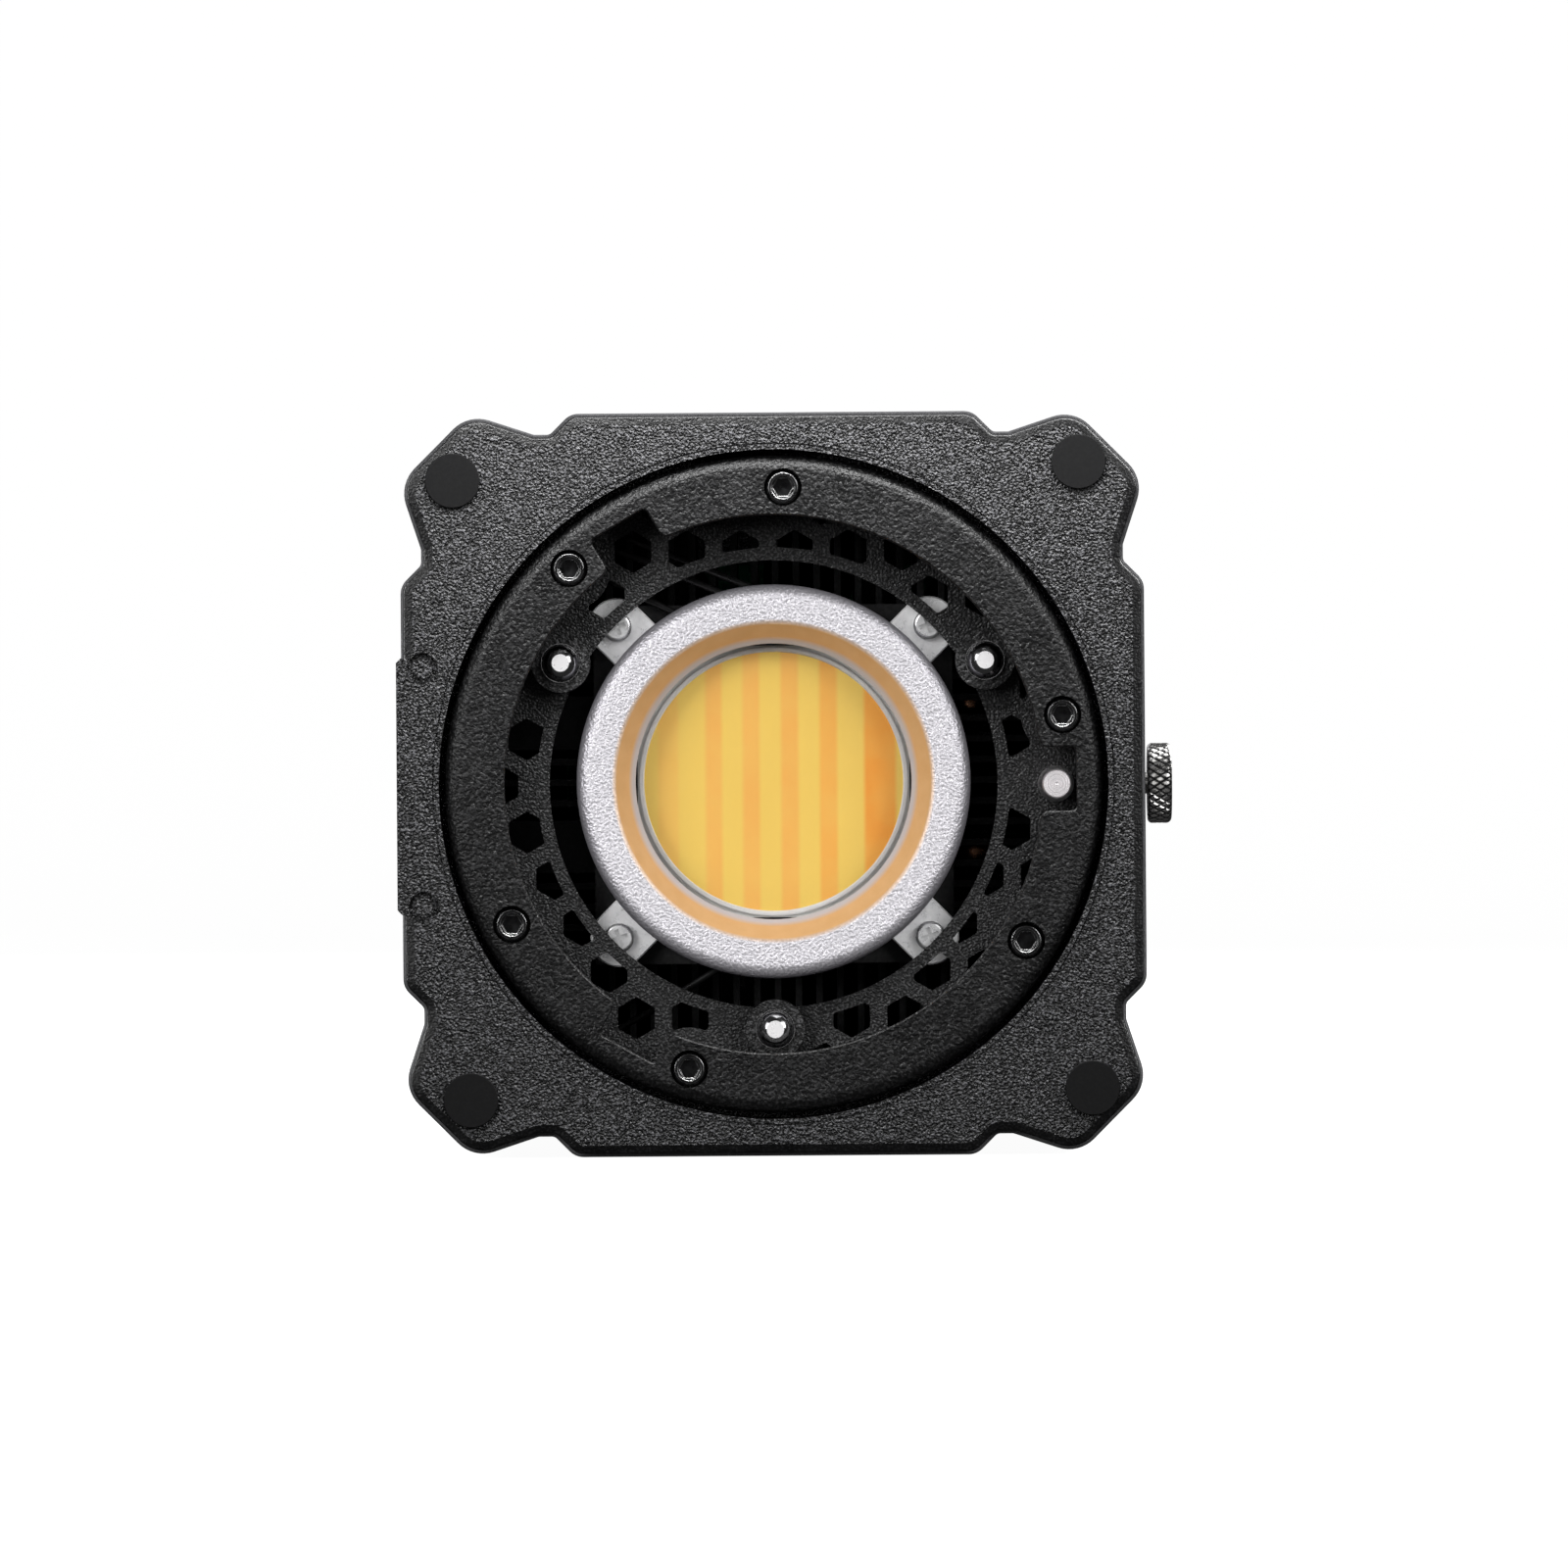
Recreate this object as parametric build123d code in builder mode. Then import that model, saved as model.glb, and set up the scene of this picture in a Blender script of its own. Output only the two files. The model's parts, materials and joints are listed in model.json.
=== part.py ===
from build123d import *
import os
from math import cos, radians, sin

# Open-face LED spotlight head with a three-lug bayonet front.
# Frame: the origin is at the stand hole's mouth, in the middle of the flat underside.
# The light shines along -Y, +X is to its right as seen from the front, and +Z is up.

os.makedirs("parts", exist_ok=True)

# ---------------------------------------------------------------- driving dimensions, mm

BODY_WIDTH = 136.0
BODY_DEPTH = 200.0
AXIS_Z = BODY_WIDTH / 2
FRONT_Y = -BODY_DEPTH / 2
REAR_Y = BODY_DEPTH / 2

# Housing section: flat sides, a shallow notch near each corner and a chamfered ear.
NOTCH_DEPTH = 3.8
NOTCH_FLOOR_START = 40.5
NOTCH_FLOOR_END = 43.4
EAR_RISE = 0.33
EAR_CHAMFER_SUM = 123.5
EAR_RADIUS = 6.5
SHELL_WALL = 2.2

COVER_THICKNESS = 3.5
COVER_INSET = 0.7
COVER_BEVEL_WIDTH = 1.5
COVER_BEVEL_DEPTH = 0.3
COVER_EDGE_R = 0.35
COVER_EAR_START = 36.0
SPIGOT_DEPTH = 5.5
RIB_WALL = 1.5
RIB_LENGTH = 60.0
RIB_AT = BODY_WIDTH / 2 - SHELL_WALL - 0.25 - RIB_WALL / 2
SHELL_FRONT_Y = FRONT_Y + COVER_THICKNESS
SHELL_REAR_Y = REAR_Y - COVER_THICKNESS

# Corner screws of both covers, hidden in front by the rubber pads.
CORNER_SCREW_AT = 57.0
CORNER_BOSS_R = 5.2
CORNER_BOSS_LENGTH = 16.0
COVER_SCREW_R = 1.5
COVER_SCREW_HEAD_R = 2.9
COVER_SCREW_HEAD_HEIGHT = 1.6
COVER_SCREW_LENGTH = 12.0
WALL_SCREW_HEAD_R = COVER_SCREW_HEAD_R - 0.05
SLOT_LENGTH = 2.8
SLOT_WIDTH = 0.7
PAD_R = 5.0
PAD_THICKNESS = 0.8
PAD_CENTRES = [(-58.3, 55.8), (56.1, 58.5), (-55.7, -57.4), (57.9, -55.9)]

# Raised bar on the left of the front cover, and the side plate behind it.
SIDE_BAR_HALF = 22.6
SIDE_BAR_RISE = 0.85
SIDE_POCKET = 1.2
SIDE_SCREW_R = 1.5
SIDE_SCREW_HEAD_R = 2.9
SIDE_SCREW_POINTS = [(y, z) for y in (-80.0, 0.0, 80.0) for z in (-14.0, 14.0)]
PIT_POINTS = [(-64.0, 21.5), (-64.0, -22.1)]
PIT_OUTER_R = 2.85
PIT_INNER_R = 1.75
PIT_DEPTH = 0.8

# Exhaust slots in the shell.
VENT_Y = 73.0
VENT_PITCH = 6.0
VENT_COUNT = 6
VENT_LENGTH = 56.0
VENT_WIDTH = 2.6

# Bayonet ring and the round well that holds it.
WELL_R = 61.2
WELL_WALL = 1.7
LIP_WIDTH = 0.9
LIP_GROOVE = 0.3
RING_RECESS = 0.6
RING_THICKNESS = 4.4
RING_OUTER_R = 60.1
RING_BORE_R = 49.25
RING_EDGE_R = 2.6
RING_SKIRT_R = 57.6
LUG_SLOT_COUNT = 3
LUG_SLOT_WIDTH = 11.7
LUG_SLOT_OUTER_R = 55.4
LUG_SLOT_TURN = 0.65
LUG_SLOT_FAR_R = 1.0
LUG_SLOT_NEAR_R = 1.6
RING_BREAK = 0.25
RING_SCREW_CIRCLE_R = 54.3
RING_SCREW_ANGLES = [13.1, 87.8]
RING_SCREW_R = 1.75
RING_HEAD_R = 3.0
RING_HEAD_HEIGHT = 2.4
RING_COUNTERBORE_R = 3.45
RING_COUNTERBORE_DEPTH = 2.9
RING_POST_R = 4.6
HEX_SOCKET_R = 1.65
HEX_SOCKET_DEPTH = 1.6
HEX_MOUTH_R = 2.15
HEX_MOUTH_DEPTH = 0.35
RING_FACE_Y = FRONT_Y + RING_RECESS
RING_BACK_Y = RING_FACE_Y + RING_THICKNESS

# Honeycomb plate behind the ring.
PLATE_FRONT_Y = RING_BACK_Y + 5.5
PLATE_THICKNESS = 2.0
PLATE_BACK_Y = PLATE_FRONT_Y + PLATE_THICKNESS
PLATE_OUTER_R = 60.0
PLATE_INNER_R = 41.1
PLATE_INNER_BAND_R = 43.4
PLATE_OUTER_BAND_R = 58.4
CELL_PITCH = 9.88
CELL_FLATS = 6.75
CELL_SHIFT_X = -0.8
CELL_CORNER_R = 0.55
CELL_MIN_WIDTH = 1.5
CELL_SCREW_CLEAR_R = 7.4
CELL_PLUNGER_CLEAR_R = 6.9
CELL_LOCK_CLEAR_R = 6.0
LEDGE_THICKNESS = 2.0
LEDGE_INNER_R = 57.0
LEDGE_BACK_Y = PLATE_BACK_Y + LEDGE_THICKNESS

# Spring plungers that press an accessory forwards against the ring.
PLUNGER_ANGLES = [30.0, 150.0, 270.0]
PLUNGER_CIRCLE_R = 44.9
PLUNGER_BOSS_R = 5.4
PLUNGER_BOSS_RISE = 3.0
PLUNGER_BOSS_BACK = 8.0
BOSS_LENGTH = PLATE_THICKNESS + PLUNGER_BOSS_BACK + PLUNGER_BOSS_RISE
PLUNGER_TIP_R = 3.5
PLUNGER_FLANGE_R = 4.4
PLUNGER_CHAMBER_R = 4.6
PLUNGER_FLANGE_THICKNESS = 1.2
PLUNGER_STEM_R = 1.5
PLUNGER_LIP = 1.6
PLUNGER_OUT = 2.6
PLUNGER_CAP_THICKNESS = 1.5
PLUNGER_SPRING_R = 3.2
PLUNGER_SPRING_TURNS = 4
SPRING_WIRE_R = 0.35

# Bayonet lock: a pin, its carriage on two rods, and the side knob that pulls it back.
LOCK_X = 51.8
LOCK_RISE = -0.3
LOCK_Z = AXIS_Z + LOCK_RISE
LOCK_PIN_R = 2.68
LOCK_PIN_EDGE = 0.25
LOCK_HOLE_R = 3.35
LOCK_TRAVEL = 7.0
LOCK_TIP_Y = RING_FACE_Y + 2.0
CARRIAGE_FRONT_Y = LEDGE_BACK_Y + 0.2
CARRIAGE_THICKNESS = 3.6
CARRIAGE_BACK_Y = CARRIAGE_FRONT_Y + CARRIAGE_THICKNESS
CARRIAGE_Y = CARRIAGE_FRONT_Y + CARRIAGE_THICKNESS / 2
CARRIAGE_RIGHT_X = 63.6
CARRIAGE_WING_X = 56.6
CARRIAGE_WING_HALF = 9.0
CARRIAGE_NOSE_R = LOCK_PIN_R + 2.0
ROD_X = 59.4
ROD_OFFSET_Z = 6.4
ROD_R = 1.5
ROD_HEAD_R = 2.6
ROD_END_Y = -69.0
ROD_HEAD_THICKNESS = 1.0
ROD_SPRING_R = 2.1
ROD_SPRING_TURNS = 6
ROD_COVERED = 0.6
ROD_FRONT_Y = LEDGE_BACK_Y - LEDGE_THICKNESS + ROD_COVERED
KNOB_R = 7.35
KNOB_THICKNESS = 4.4
KNOB_GAP = 0.7
KNOB_NECK_R = 1.95
KNOB_SLOT_HALF = 2.3
STUD_R = KNOB_NECK_R - 0.35
STUD_END_X = BODY_WIDTH / 2 + KNOB_GAP + KNOB_THICKNESS - 1.2
KNURL_COUNT = 32
KNURL_LEAN = 33.0
KNURL_GROOVE = 0.8
KNURL_CUT_R = KNOB_R + 0.22

# LED module, whose centre lies a little above the ring's.
LED_RISE = 0.5
LED_Z = AXIS_Z + LED_RISE
CORE_HALF = 33.0
CORE_FRONT_Y = -81.0
BOARD_SIDE = 50.0
BOARD_THICKNESS = 1.5
RETAINER_THICKNESS = 1.5
TAB_SCREW_AT = 28.6
TAB_R = 4.6
TAB_WIDTH_HALF = 5.3
TAB_HOLE_R = 1.65
TAB_HEAD_R = 2.75
TAB_HEAD_HEIGHT = 2.0
TAB_REACH = TAB_SCREW_AT * 2**0.5
TAB_THREAD_R = 1.5
TAB_SCREW_DEPTH = 6.0
CROSS_LENGTH = 3.2
CROSS_WIDTH = 0.8
BEZEL_OUTER_R = 36.1
BEZEL_FACE_INNER_R = 29.0
BEZEL_THROAT_R = 25.3
BEZEL_CONE_DEPTH = 4.5
BEZEL_EDGE_R = 2.5
BEZEL_LIP_R = 0.9
RETAINER_GAP = 0.3
BEZEL_FRONT_Y = RING_BACK_Y + 0.5
GLASS_FRONT_Y = BEZEL_FRONT_Y + BEZEL_CONE_DEPTH + 0.5
GLASS_R = 26.9
GLASS_SEAT_R = GLASS_R + 0.1
GLASS_THICKNESS = 2.0
SEAL_WIDTH = 1.2
PHOSPHOR_R = 23.8
PHOSPHOR_THICKNESS = 1.0
DAM_R = 24.8
DAM_HEIGHT = 1.3
DAM_EDGE_R = 0.3

# Heat sink, heat pipes and fan.
FIN_PITCH = 3.84
FIN_THICKNESS = 1.2
FIN_COUNT = 17
FIN_SHIFT = 0.54
FIN_REACH = 60.0
FIN_REACH_DOWN = 50.0
FIN_FRONT_Y = -67.0
FIN_REAR_Y = 20.0
PAD_BLOCK_Z = 11.4
PAD_BLOCK_HEIGHT = 9.5
HEAT_PIPE_R = 3.0
PIPE_FRONT_Y = FIN_FRONT_Y + 5.0
PIPE_REAR_Y = FIN_REAR_Y - 6.0
PIPE_ENDS = [(36.5, 14.9), (37.2, -12.8)]
PILLAR_SIDE = 9.0
PILLAR_THREAD = 12.0
SINK_THREAD = 8.0
FAN_SIDE = 120.0
FAN_DEPTH = 25.0
FAN_DUCT_WALL = 1.8
FAN_STRUT_WIDTH = 5.0
FAN_TUBE_R = 5.0
FAN_TUBE_INSET = 7.0
FAN_BORE_R = 58.0
FAN_BLADE_R = 56.4
FAN_HUB_R = 20.0
FAN_HUB_WALL = 1.5
FAN_BLADES = 9
FAN_BLADE_THICKNESS = 1.6
BLADE_ROOT_CHORD = 17.0
BLADE_ROOT_PITCH = 38.0
BLADE_TIP_CHORD = 24.0
BLADE_TIP_PITCH = 62.0
FAN_HOLE_AT = 52.5
FAN_FLANGE = 4.0
FAN_SCREW_R = 2.0
FAN_SCREW_HEAD_R = 3.4
FAN_SCREW_HEAD_HEIGHT = 2.2
FAN_SCREW_DEPTH = 8.0
FAN_SHAFT_R = 2.0
BULKHEAD_FRONT_Y = 28.0
BULKHEAD_THICKNESS = 1.5
BULKHEAD_GAP = 0.3
FAN_FRONT_Y = BULKHEAD_FRONT_Y + BULKHEAD_THICKNESS
FAN_BACK_Y = FAN_FRONT_Y + FAN_DEPTH

# Leads: three from the LED board past its upper left corner, one sensor lead at the lower left.
LEAD_R = 0.65
LEAD_BEND_R = 3.0
LEAD_Y = CORE_FRONT_Y - 0.75
LEAD_PLUG_FRONT_Y = 18.0
LEAD_PLUG_WIDTH = 12.0
LEAD_PLUG_HEIGHT = 9.0
LEAD_PLUG_POINTS = [(-42.0, 50.0), (-42.0, -50.0)]
LEAD_ROUTES = [
    [
        (-8.0, LEAD_Y, 26.6),
        (-30.0, LEAD_Y, 37.6),
        (-42.0, -70.0, 44.0),
        (-45.0, -50.0, 48.5),
        (-45.0, 18.0, 48.5),
    ],
    [
        (1.0, LEAD_Y, 27.0),
        (-8.0, LEAD_Y, 34.6),
        (-29.0, LEAD_Y, 43.4),
        (-40.0, -70.0, 49.5),
        (-42.0, -50.0, 51.0),
        (-42.0, 18.0, 51.0),
    ],
    [
        (14.0, LEAD_Y, 27.4),
        (-4.8, LEAD_Y, 36.6),
        (-27.0, LEAD_Y, 45.6),
        (-37.0, -70.0, 51.0),
        (-39.0, -50.0, 48.5),
        (-39.0, 18.0, 48.5),
    ],
    [
        (-4.0, LEAD_Y, -30.0),
        (-22.9, LEAD_Y, -41.6),
        (-35.0, LEAD_Y, -48.2),
        (-41.0, -70.0, -50.5),
        (-42.0, -50.0, -50.0),
        (-42.0, 18.0, -50.0),
    ],
]

# Stand receiver in the underside.
STAND_HOLE_R = 4.0
STAND_BUSH_R = 7.0
STAND_BUSH_LENGTH = 13.0
STAND_PLATE_SIDE = 52.0
STAND_PLATE_THICKNESS = 6.0

STAND_SCREW_POINTS = [(x, y) for x in (-19.0, 19.0) for y in (-19.0, 19.0)]
SINK_SCREW_POINTS = [(x, y) for x in (-20.0, 20.0) for y in (-50.0, 5.0)]

# Rear panel.
PANEL_WIDTH = 72.0
PANEL_HEIGHT = 96.0
PANEL_THICKNESS = 2.5
PANEL_RECESS = 1.0
PANEL_FRAME = 1.5
PANEL_SKIN = 1.5
PANEL_CORNER_R = 4.0
PANEL_GAP = 0.2
DISPLAY_WIDTH = 46.0
DISPLAY_HEIGHT = 25.0
DISPLAY_Z = 28.0
BUTTON_Z = 6.0
BUTTON_XS = [-20.0, 0.0, 20.0]
BUTTON_TRAVEL = 0.6
KNOB_Z = -13.0
KNOB_XS = [-19.0, 19.0]
DIAL_R = 9.0
DIAL_HEIGHT = 10.0
BUTTON_LENGTH = 11.0
BUTTON_HEIGHT = 5.0
BUTTON_GAP = 0.3
BUTTON_FLANGE = 1.0
BUTTON_FLANGE_THICKNESS = 0.9
BUTTON_PROUD = 1.3
BUTTON_STEM_R = 1.5
DIAL_SHAFT_R = 3.0
DIAL_HOLE_R = 3.4
DIAL_FLUTE_R = 0.7
DIAL_FLUTES = 24
DIAL_LIFT = 0.6
POWER_Z = -36.0
INLET_X = -14.0
INLET_WIDTH = 28.0
INLET_HEIGHT = 20.5
INLET_DEPTH = 20.0
INLET_CAVITY_WIDTH = 24.4
INLET_CAVITY_HEIGHT = 16.8
INLET_FLANGE = 1.5
INLET_FLANGE_THICKNESS = 1.6
INLET_CHAMFER = 4.0
INLET_PINS = [(0, 2.0), (-7.0, -2.0), (7.0, -2.0)]
INLET_PIN_RECESS = 4.5
INLET_PIN_THICKNESS = 2.0
INLET_PIN_HEIGHT = 4.0
SWITCH_X = 21.0
SWITCH_WIDTH = 13.0
SWITCH_HEIGHT = 19.0
SWITCH_DEPTH = 12.0
SWITCH_BEZEL = 1.2
SWITCH_BACK = 2.0
ROCKER_HALF = 7.0
ROCKER_WIDTH = SWITCH_WIDTH - 3.0
ROCKER_PROFILE = [
    (-2.5, -1.5),
    (2.4, -ROCKER_HALF),
    (4.8, -ROCKER_HALF),
    (3.2, 0),
    (2.6, ROCKER_HALF),
    (0.2, ROCKER_HALF),
    (-2.5, 1.5),
]
REAR_SLOT_X = 48.5
REAR_SLOT_LENGTH = 16.0
REAR_SLOT_WIDTH = 2.6
REAR_SLOT_PITCH = 6.0
REAR_SLOT_COUNT = 15
BAFFLE_HEIGHT = 4.2
BAFFLE_THICKNESS = 1.2
BAFFLE_GAP = 1.8
BAFFLE_UPRIGHT = 1.2

# Boards in the rear bay; a board stands on standoffs along its side wall.
BOARD_X = 58.0
BOARD_MID_Y = 74.0
BOARD_LENGTH = 32.0
BOARD_HEIGHT = 70.0
BOARD_PCB = 1.6
BOARD_SCREW_HEAD_R = 2.6
BOARD_SCREW_HEAD_HEIGHT = 1.6
TRANSFORMER_SIDE = 24.0
TRANSFORMER_HEIGHT = 16.0
CAPACITOR_R = 6.0
CAPACITOR_HEIGHT = 17.0
CHOKE_R = 5.0
SOCKET_WIDTH = 8.0
SOCKET_LENGTH = 7.0
SOCKET_HEIGHT = 9.0
COIL_SIDE = 12.0
COIL_PITCH = 15.0
COOLER_Y = 9.5
COOLER_WIDTH = 4.0
COOLER_LENGTH = 44.0
COOLER_HEIGHT = 7.0
BOARD_MARGIN = 4.0
BOARD_HOLE_Y = BOARD_LENGTH / 2 - BOARD_MARGIN
BOARD_HOLE_Z = BOARD_HEIGHT / 2 - BOARD_MARGIN
BOARD_SCREW_POINTS = [
    (BOARD_MID_Y + side_y * BOARD_HOLE_Y, side_z * BOARD_HOLE_Z)
    for side_y in (-1, 1)
    for side_z in (-1, 1)
]
STANDOFF_R = 2.75
CONTROL_BOARD_WIDTH = 68.0
CONTROL_BOARD_HEIGHT = 62.0
CONTROL_BOARD_RISE = 12.0
KEY_SWITCH_SIDE = 6.0
ENCODER_WIDTH = 12.0
ENCODER_LENGTH = 11.0
CONTROL_BOARD_Y = 86.0
KEY_SWITCH_HEIGHT = 4.0
ENCODER_HEIGHT = 6.5

PANEL_FRONT_Y = REAR_Y - PANEL_RECESS - PANEL_THICKNESS
PANEL_BACK_Y = REAR_Y - PANEL_RECESS
ROCKER_PIVOT_Y = PANEL_BACK_Y - 1.0


# ---------------------------------------------------------------- shared geometry


def facing_front(y, x=0.0, z=AXIS_Z):
    """A plane at depth y whose sketch x is +X, sketch y is +Z, and which extrudes towards -Y."""
    return Plane(origin=(x, y, z), x_dir=(1, 0, 0), z_dir=(0, -1, 0))


def facing_left(x, y=0.0, z=AXIS_Z):
    """A plane at x whose sketch x is +Y, sketch y is +Z, and which extrudes towards +X."""
    return Plane(origin=(x, y, z), x_dir=(0, 1, 0), z_dir=(1, 0, 0))


def on_circle(radius, angle):
    """The sketch point at an angle, counted anticlockwise from +X as seen from the front."""
    return (radius * cos(radians(angle)), radius * sin(radians(angle)))


def turned(angles, turns=3):
    """The angles, repeated at equal turns round the axis."""
    return [angle + 360.0 * turn / turns for turn in range(turns) for angle in angles]


RING_SCREW_POINTS = [on_circle(RING_SCREW_CIRCLE_R, angle) for angle in turned(RING_SCREW_ANGLES)]
PLUNGER_POINTS = [on_circle(PLUNGER_CIRCLE_R, angle) for angle in PLUNGER_ANGLES]
CORNER_POINTS = [(sx * CORNER_SCREW_AT, sz * CORNER_SCREW_AT) for sx in (-1, 1) for sz in (-1, 1)]
TAB_POINTS = [(sx * TAB_SCREW_AT, sz * TAB_SCREW_AT) for sx in (-1, 1) for sz in (-1, 1)]
FAN_POINTS = [(sx * FAN_HOLE_AT, sz * FAN_HOLE_AT) for sx in (-1, 1) for sz in (-1, 1)]
LOCK_POINT = (LOCK_X, LOCK_RISE)
ROD_POINTS = [(ROD_X, LOCK_RISE + side * ROD_OFFSET_Z) for side in (-1, 1)]
BUTTON_POINTS = [(x, BUTTON_Z) for x in BUTTON_XS]
DIAL_POINTS = [(x, KNOB_Z) for x in KNOB_XS]

HALF = BODY_WIDTH / 2
NOTCH_FLOOR = HALF - NOTCH_DEPTH
EAR_TOP_X = (EAR_CHAMFER_SUM - NOTCH_FLOOR + EAR_RISE * NOTCH_FLOOR_END) / (1 + EAR_RISE)
CORNER_PROFILE = [
    (NOTCH_FLOOR_START - NOTCH_DEPTH, HALF),
    (NOTCH_FLOOR_START, NOTCH_FLOOR),
    (NOTCH_FLOOR_END, NOTCH_FLOOR),
    (EAR_TOP_X, EAR_CHAMFER_SUM - EAR_TOP_X),
]
CORNER_RADII = [3.6, 1.4, 1.4, EAR_RADIUS]


def housing_points():
    """The housing section's corners, from one corner's half profile by symmetry."""
    half = CORNER_PROFILE
    corner = half + [(z, x) for x, z in reversed(half)]
    points = []
    for turn in range(4):
        for x, z in corner:
            for _ in range(turn):
                x, z = z, -x
            points.append((x, z))
    return points


def housing_outline(inset=0.0):
    """The housing section as a private sketch, drawn in from the outside by an inset."""
    with BuildSketch(mode=Mode.PRIVATE) as outline:
        with BuildLine():
            Polyline(*housing_points(), close=True)
        make_face()
        for (x, z), radius in zip(CORNER_PROFILE, CORNER_RADII):
            reach = (x * x + z * z) ** 0.5
            corners = [v for v in outline.vertices() if abs((v.X**2 + v.Y**2) ** 0.5 - reach) < 0.01]
            fillet(corners, radius)
        if inset:
            offset(amount=-inset)
    return outline.sketch


def coil_spring(x, z, front, rear, radius, turns):
    """A compression spring round an axis along Y, as a swept helix."""
    height = rear - front - 2 * SPRING_WIRE_R
    start = front + SPRING_WIRE_R
    with BuildPart(mode=Mode.PRIVATE) as coil:
        with BuildLine() as path:
            Helix(height / turns, height, radius, center=(x, start, z), direction=(0, 1, 0))
        with BuildSketch(Plane(origin=path.line @ 0, z_dir=path.line % 0)):
            Circle(SPRING_WIRE_R)
        sweep(is_frenet=True)
    return coil.part


def facing_rear(x, z, y=REAR_Y):
    """A plane at a point of the rear face, whose normal is +Y."""
    return Plane(origin=(x, y, AXIS_Z + z), z_dir=(0, 1, 0))


def countersunk_screw(seat, head_radius, head_height, length, socket_radius=1.0):
    """A countersunk screw with a round socket, driven into a plane against its normal."""
    with BuildPart(mode=Mode.PRIVATE) as screw:
        with Locations(seat):
            with Locations((0, 0, -head_height / 2)):
                Cone(COVER_SCREW_R, head_radius, head_height)
            with Locations((0, 0, -length / 2)):
                Cylinder(COVER_SCREW_R, length)
            with Locations((0, 0, -head_height / 3)):
                Cylinder(socket_radius, head_height * 2 / 3 + 0.01, mode=Mode.SUBTRACT)
    return screw.part


OUTER = housing_outline()
COVER_OUTLINE = housing_outline(COVER_INSET)
INNER = housing_outline(SHELL_WALL)
BULKHEAD_OUTLINE = housing_outline(SHELL_WALL + BULKHEAD_GAP)

# ---------------------------------------------------------------- front cover

with BuildPart() as front_cover:
    # The face plate, with the raised bar that covers the side plate's end on the left.
    with BuildSketch(facing_front(SHELL_FRONT_Y)):
        add(COVER_OUTLINE)
        with BuildLine():
            Polyline(
                (-HALF + 2, SIDE_BAR_HALF + SIDE_BAR_RISE),
                (-HALF, SIDE_BAR_HALF + SIDE_BAR_RISE),
                (-HALF - SIDE_BAR_RISE, SIDE_BAR_HALF),
                (-HALF - SIDE_BAR_RISE, -SIDE_BAR_HALF),
                (-HALF, -SIDE_BAR_HALF - SIDE_BAR_RISE),
                (-HALF + 2, -SIDE_BAR_HALF - SIDE_BAR_RISE),
                close=True,
            )
        make_face()
        Circle(WELL_R, mode=Mode.SUBTRACT)
    extrude(amount=COVER_THICKNESS)

    # A shallow bevel runs round the face from ear to ear, and its outer edge is rounded.
    face = front_cover.faces().sort_by(Axis.Y)[0]
    ear_edges = []
    for edge in face.outer_wire().edges():
        if abs((edge @ 0.5).X) > COVER_EAR_START and abs((edge @ 0.5).Z - AXIS_Z) > COVER_EAR_START:
            ear_edges.append(edge)
    chamfer(ear_edges, COVER_BEVEL_WIDTH, COVER_BEVEL_DEPTH, reference=face)
    bevel_floor_y = FRONT_Y + COVER_BEVEL_DEPTH
    rim_edges = []
    for slope in front_cover.faces().filter_by(lambda f: -0.995 < f.normal_at().Y < -0.9):
        for edge in slope.edges():
            if max(abs((edge @ t).Y - bevel_floor_y) for t in (0, 0.5)) < 0.001:
                rim_edges.append(edge)
    fillet(rim_edges, COVER_EDGE_R)

    # Four ribs locate the cover inside the shell's flat sides.
    with BuildSketch(facing_front(SHELL_FRONT_Y + SPIGOT_DEPTH)):
        with PolarLocations(RIB_AT, 4):
            Rectangle(RIB_WALL, RIB_LENGTH)
    extrude(amount=SPIGOT_DEPTH)

    # The well's wall and the ledge that carries the honeycomb plate and the ring's screws.
    with BuildSketch(facing_front(LEDGE_BACK_Y)):
        Circle(WELL_R + WELL_WALL)
        Circle(WELL_R, mode=Mode.SUBTRACT)
    extrude(amount=LEDGE_BACK_Y - FRONT_Y - 1.0)
    with BuildSketch(facing_front(LEDGE_BACK_Y)):
        Circle(WELL_R + WELL_WALL)
        Circle(LEDGE_INNER_R, mode=Mode.SUBTRACT)
        with Locations(*RING_SCREW_POINTS):
            Circle(RING_POST_R)
    extrude(amount=LEDGE_THICKNESS)
    with BuildSketch(facing_front(LEDGE_BACK_Y)):
        with Locations(*RING_SCREW_POINTS):
            Circle(RING_SCREW_R)
    extrude(amount=LEDGE_THICKNESS, mode=Mode.SUBTRACT)
    with BuildSketch(facing_front(LEDGE_BACK_Y)):
        with Locations(*ROD_POINTS):
            Circle(ROD_R)
    extrude(amount=LEDGE_BACK_Y - ROD_FRONT_Y, mode=Mode.SUBTRACT)

    # A fine groove sets off the rounded lip round the well.
    with BuildSketch(facing_front(FRONT_Y + LIP_GROOVE)):
        Circle(WELL_R + LIP_WIDTH + LIP_GROOVE)
        Circle(WELL_R + LIP_WIDTH, mode=Mode.SUBTRACT)
    extrude(amount=LIP_GROOVE, mode=Mode.SUBTRACT)

    # Two ring-shaped pits beside the bar.
    with BuildSketch(facing_front(FRONT_Y + PIT_DEPTH)):
        with Locations(*PIT_POINTS):
            Circle(PIT_OUTER_R)
            Circle(PIT_INNER_R, mode=Mode.SUBTRACT)
    extrude(amount=PIT_DEPTH, mode=Mode.SUBTRACT)

    # Countersunk corner screw holes.
    with Locations(*[facing_front(FRONT_Y, x, AXIS_Z + z) for x, z in CORNER_POINTS]):
        CounterSinkHole(COVER_SCREW_R + 0.2, COVER_SCREW_HEAD_R + 0.1, depth=COVER_THICKNESS + 4)

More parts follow.
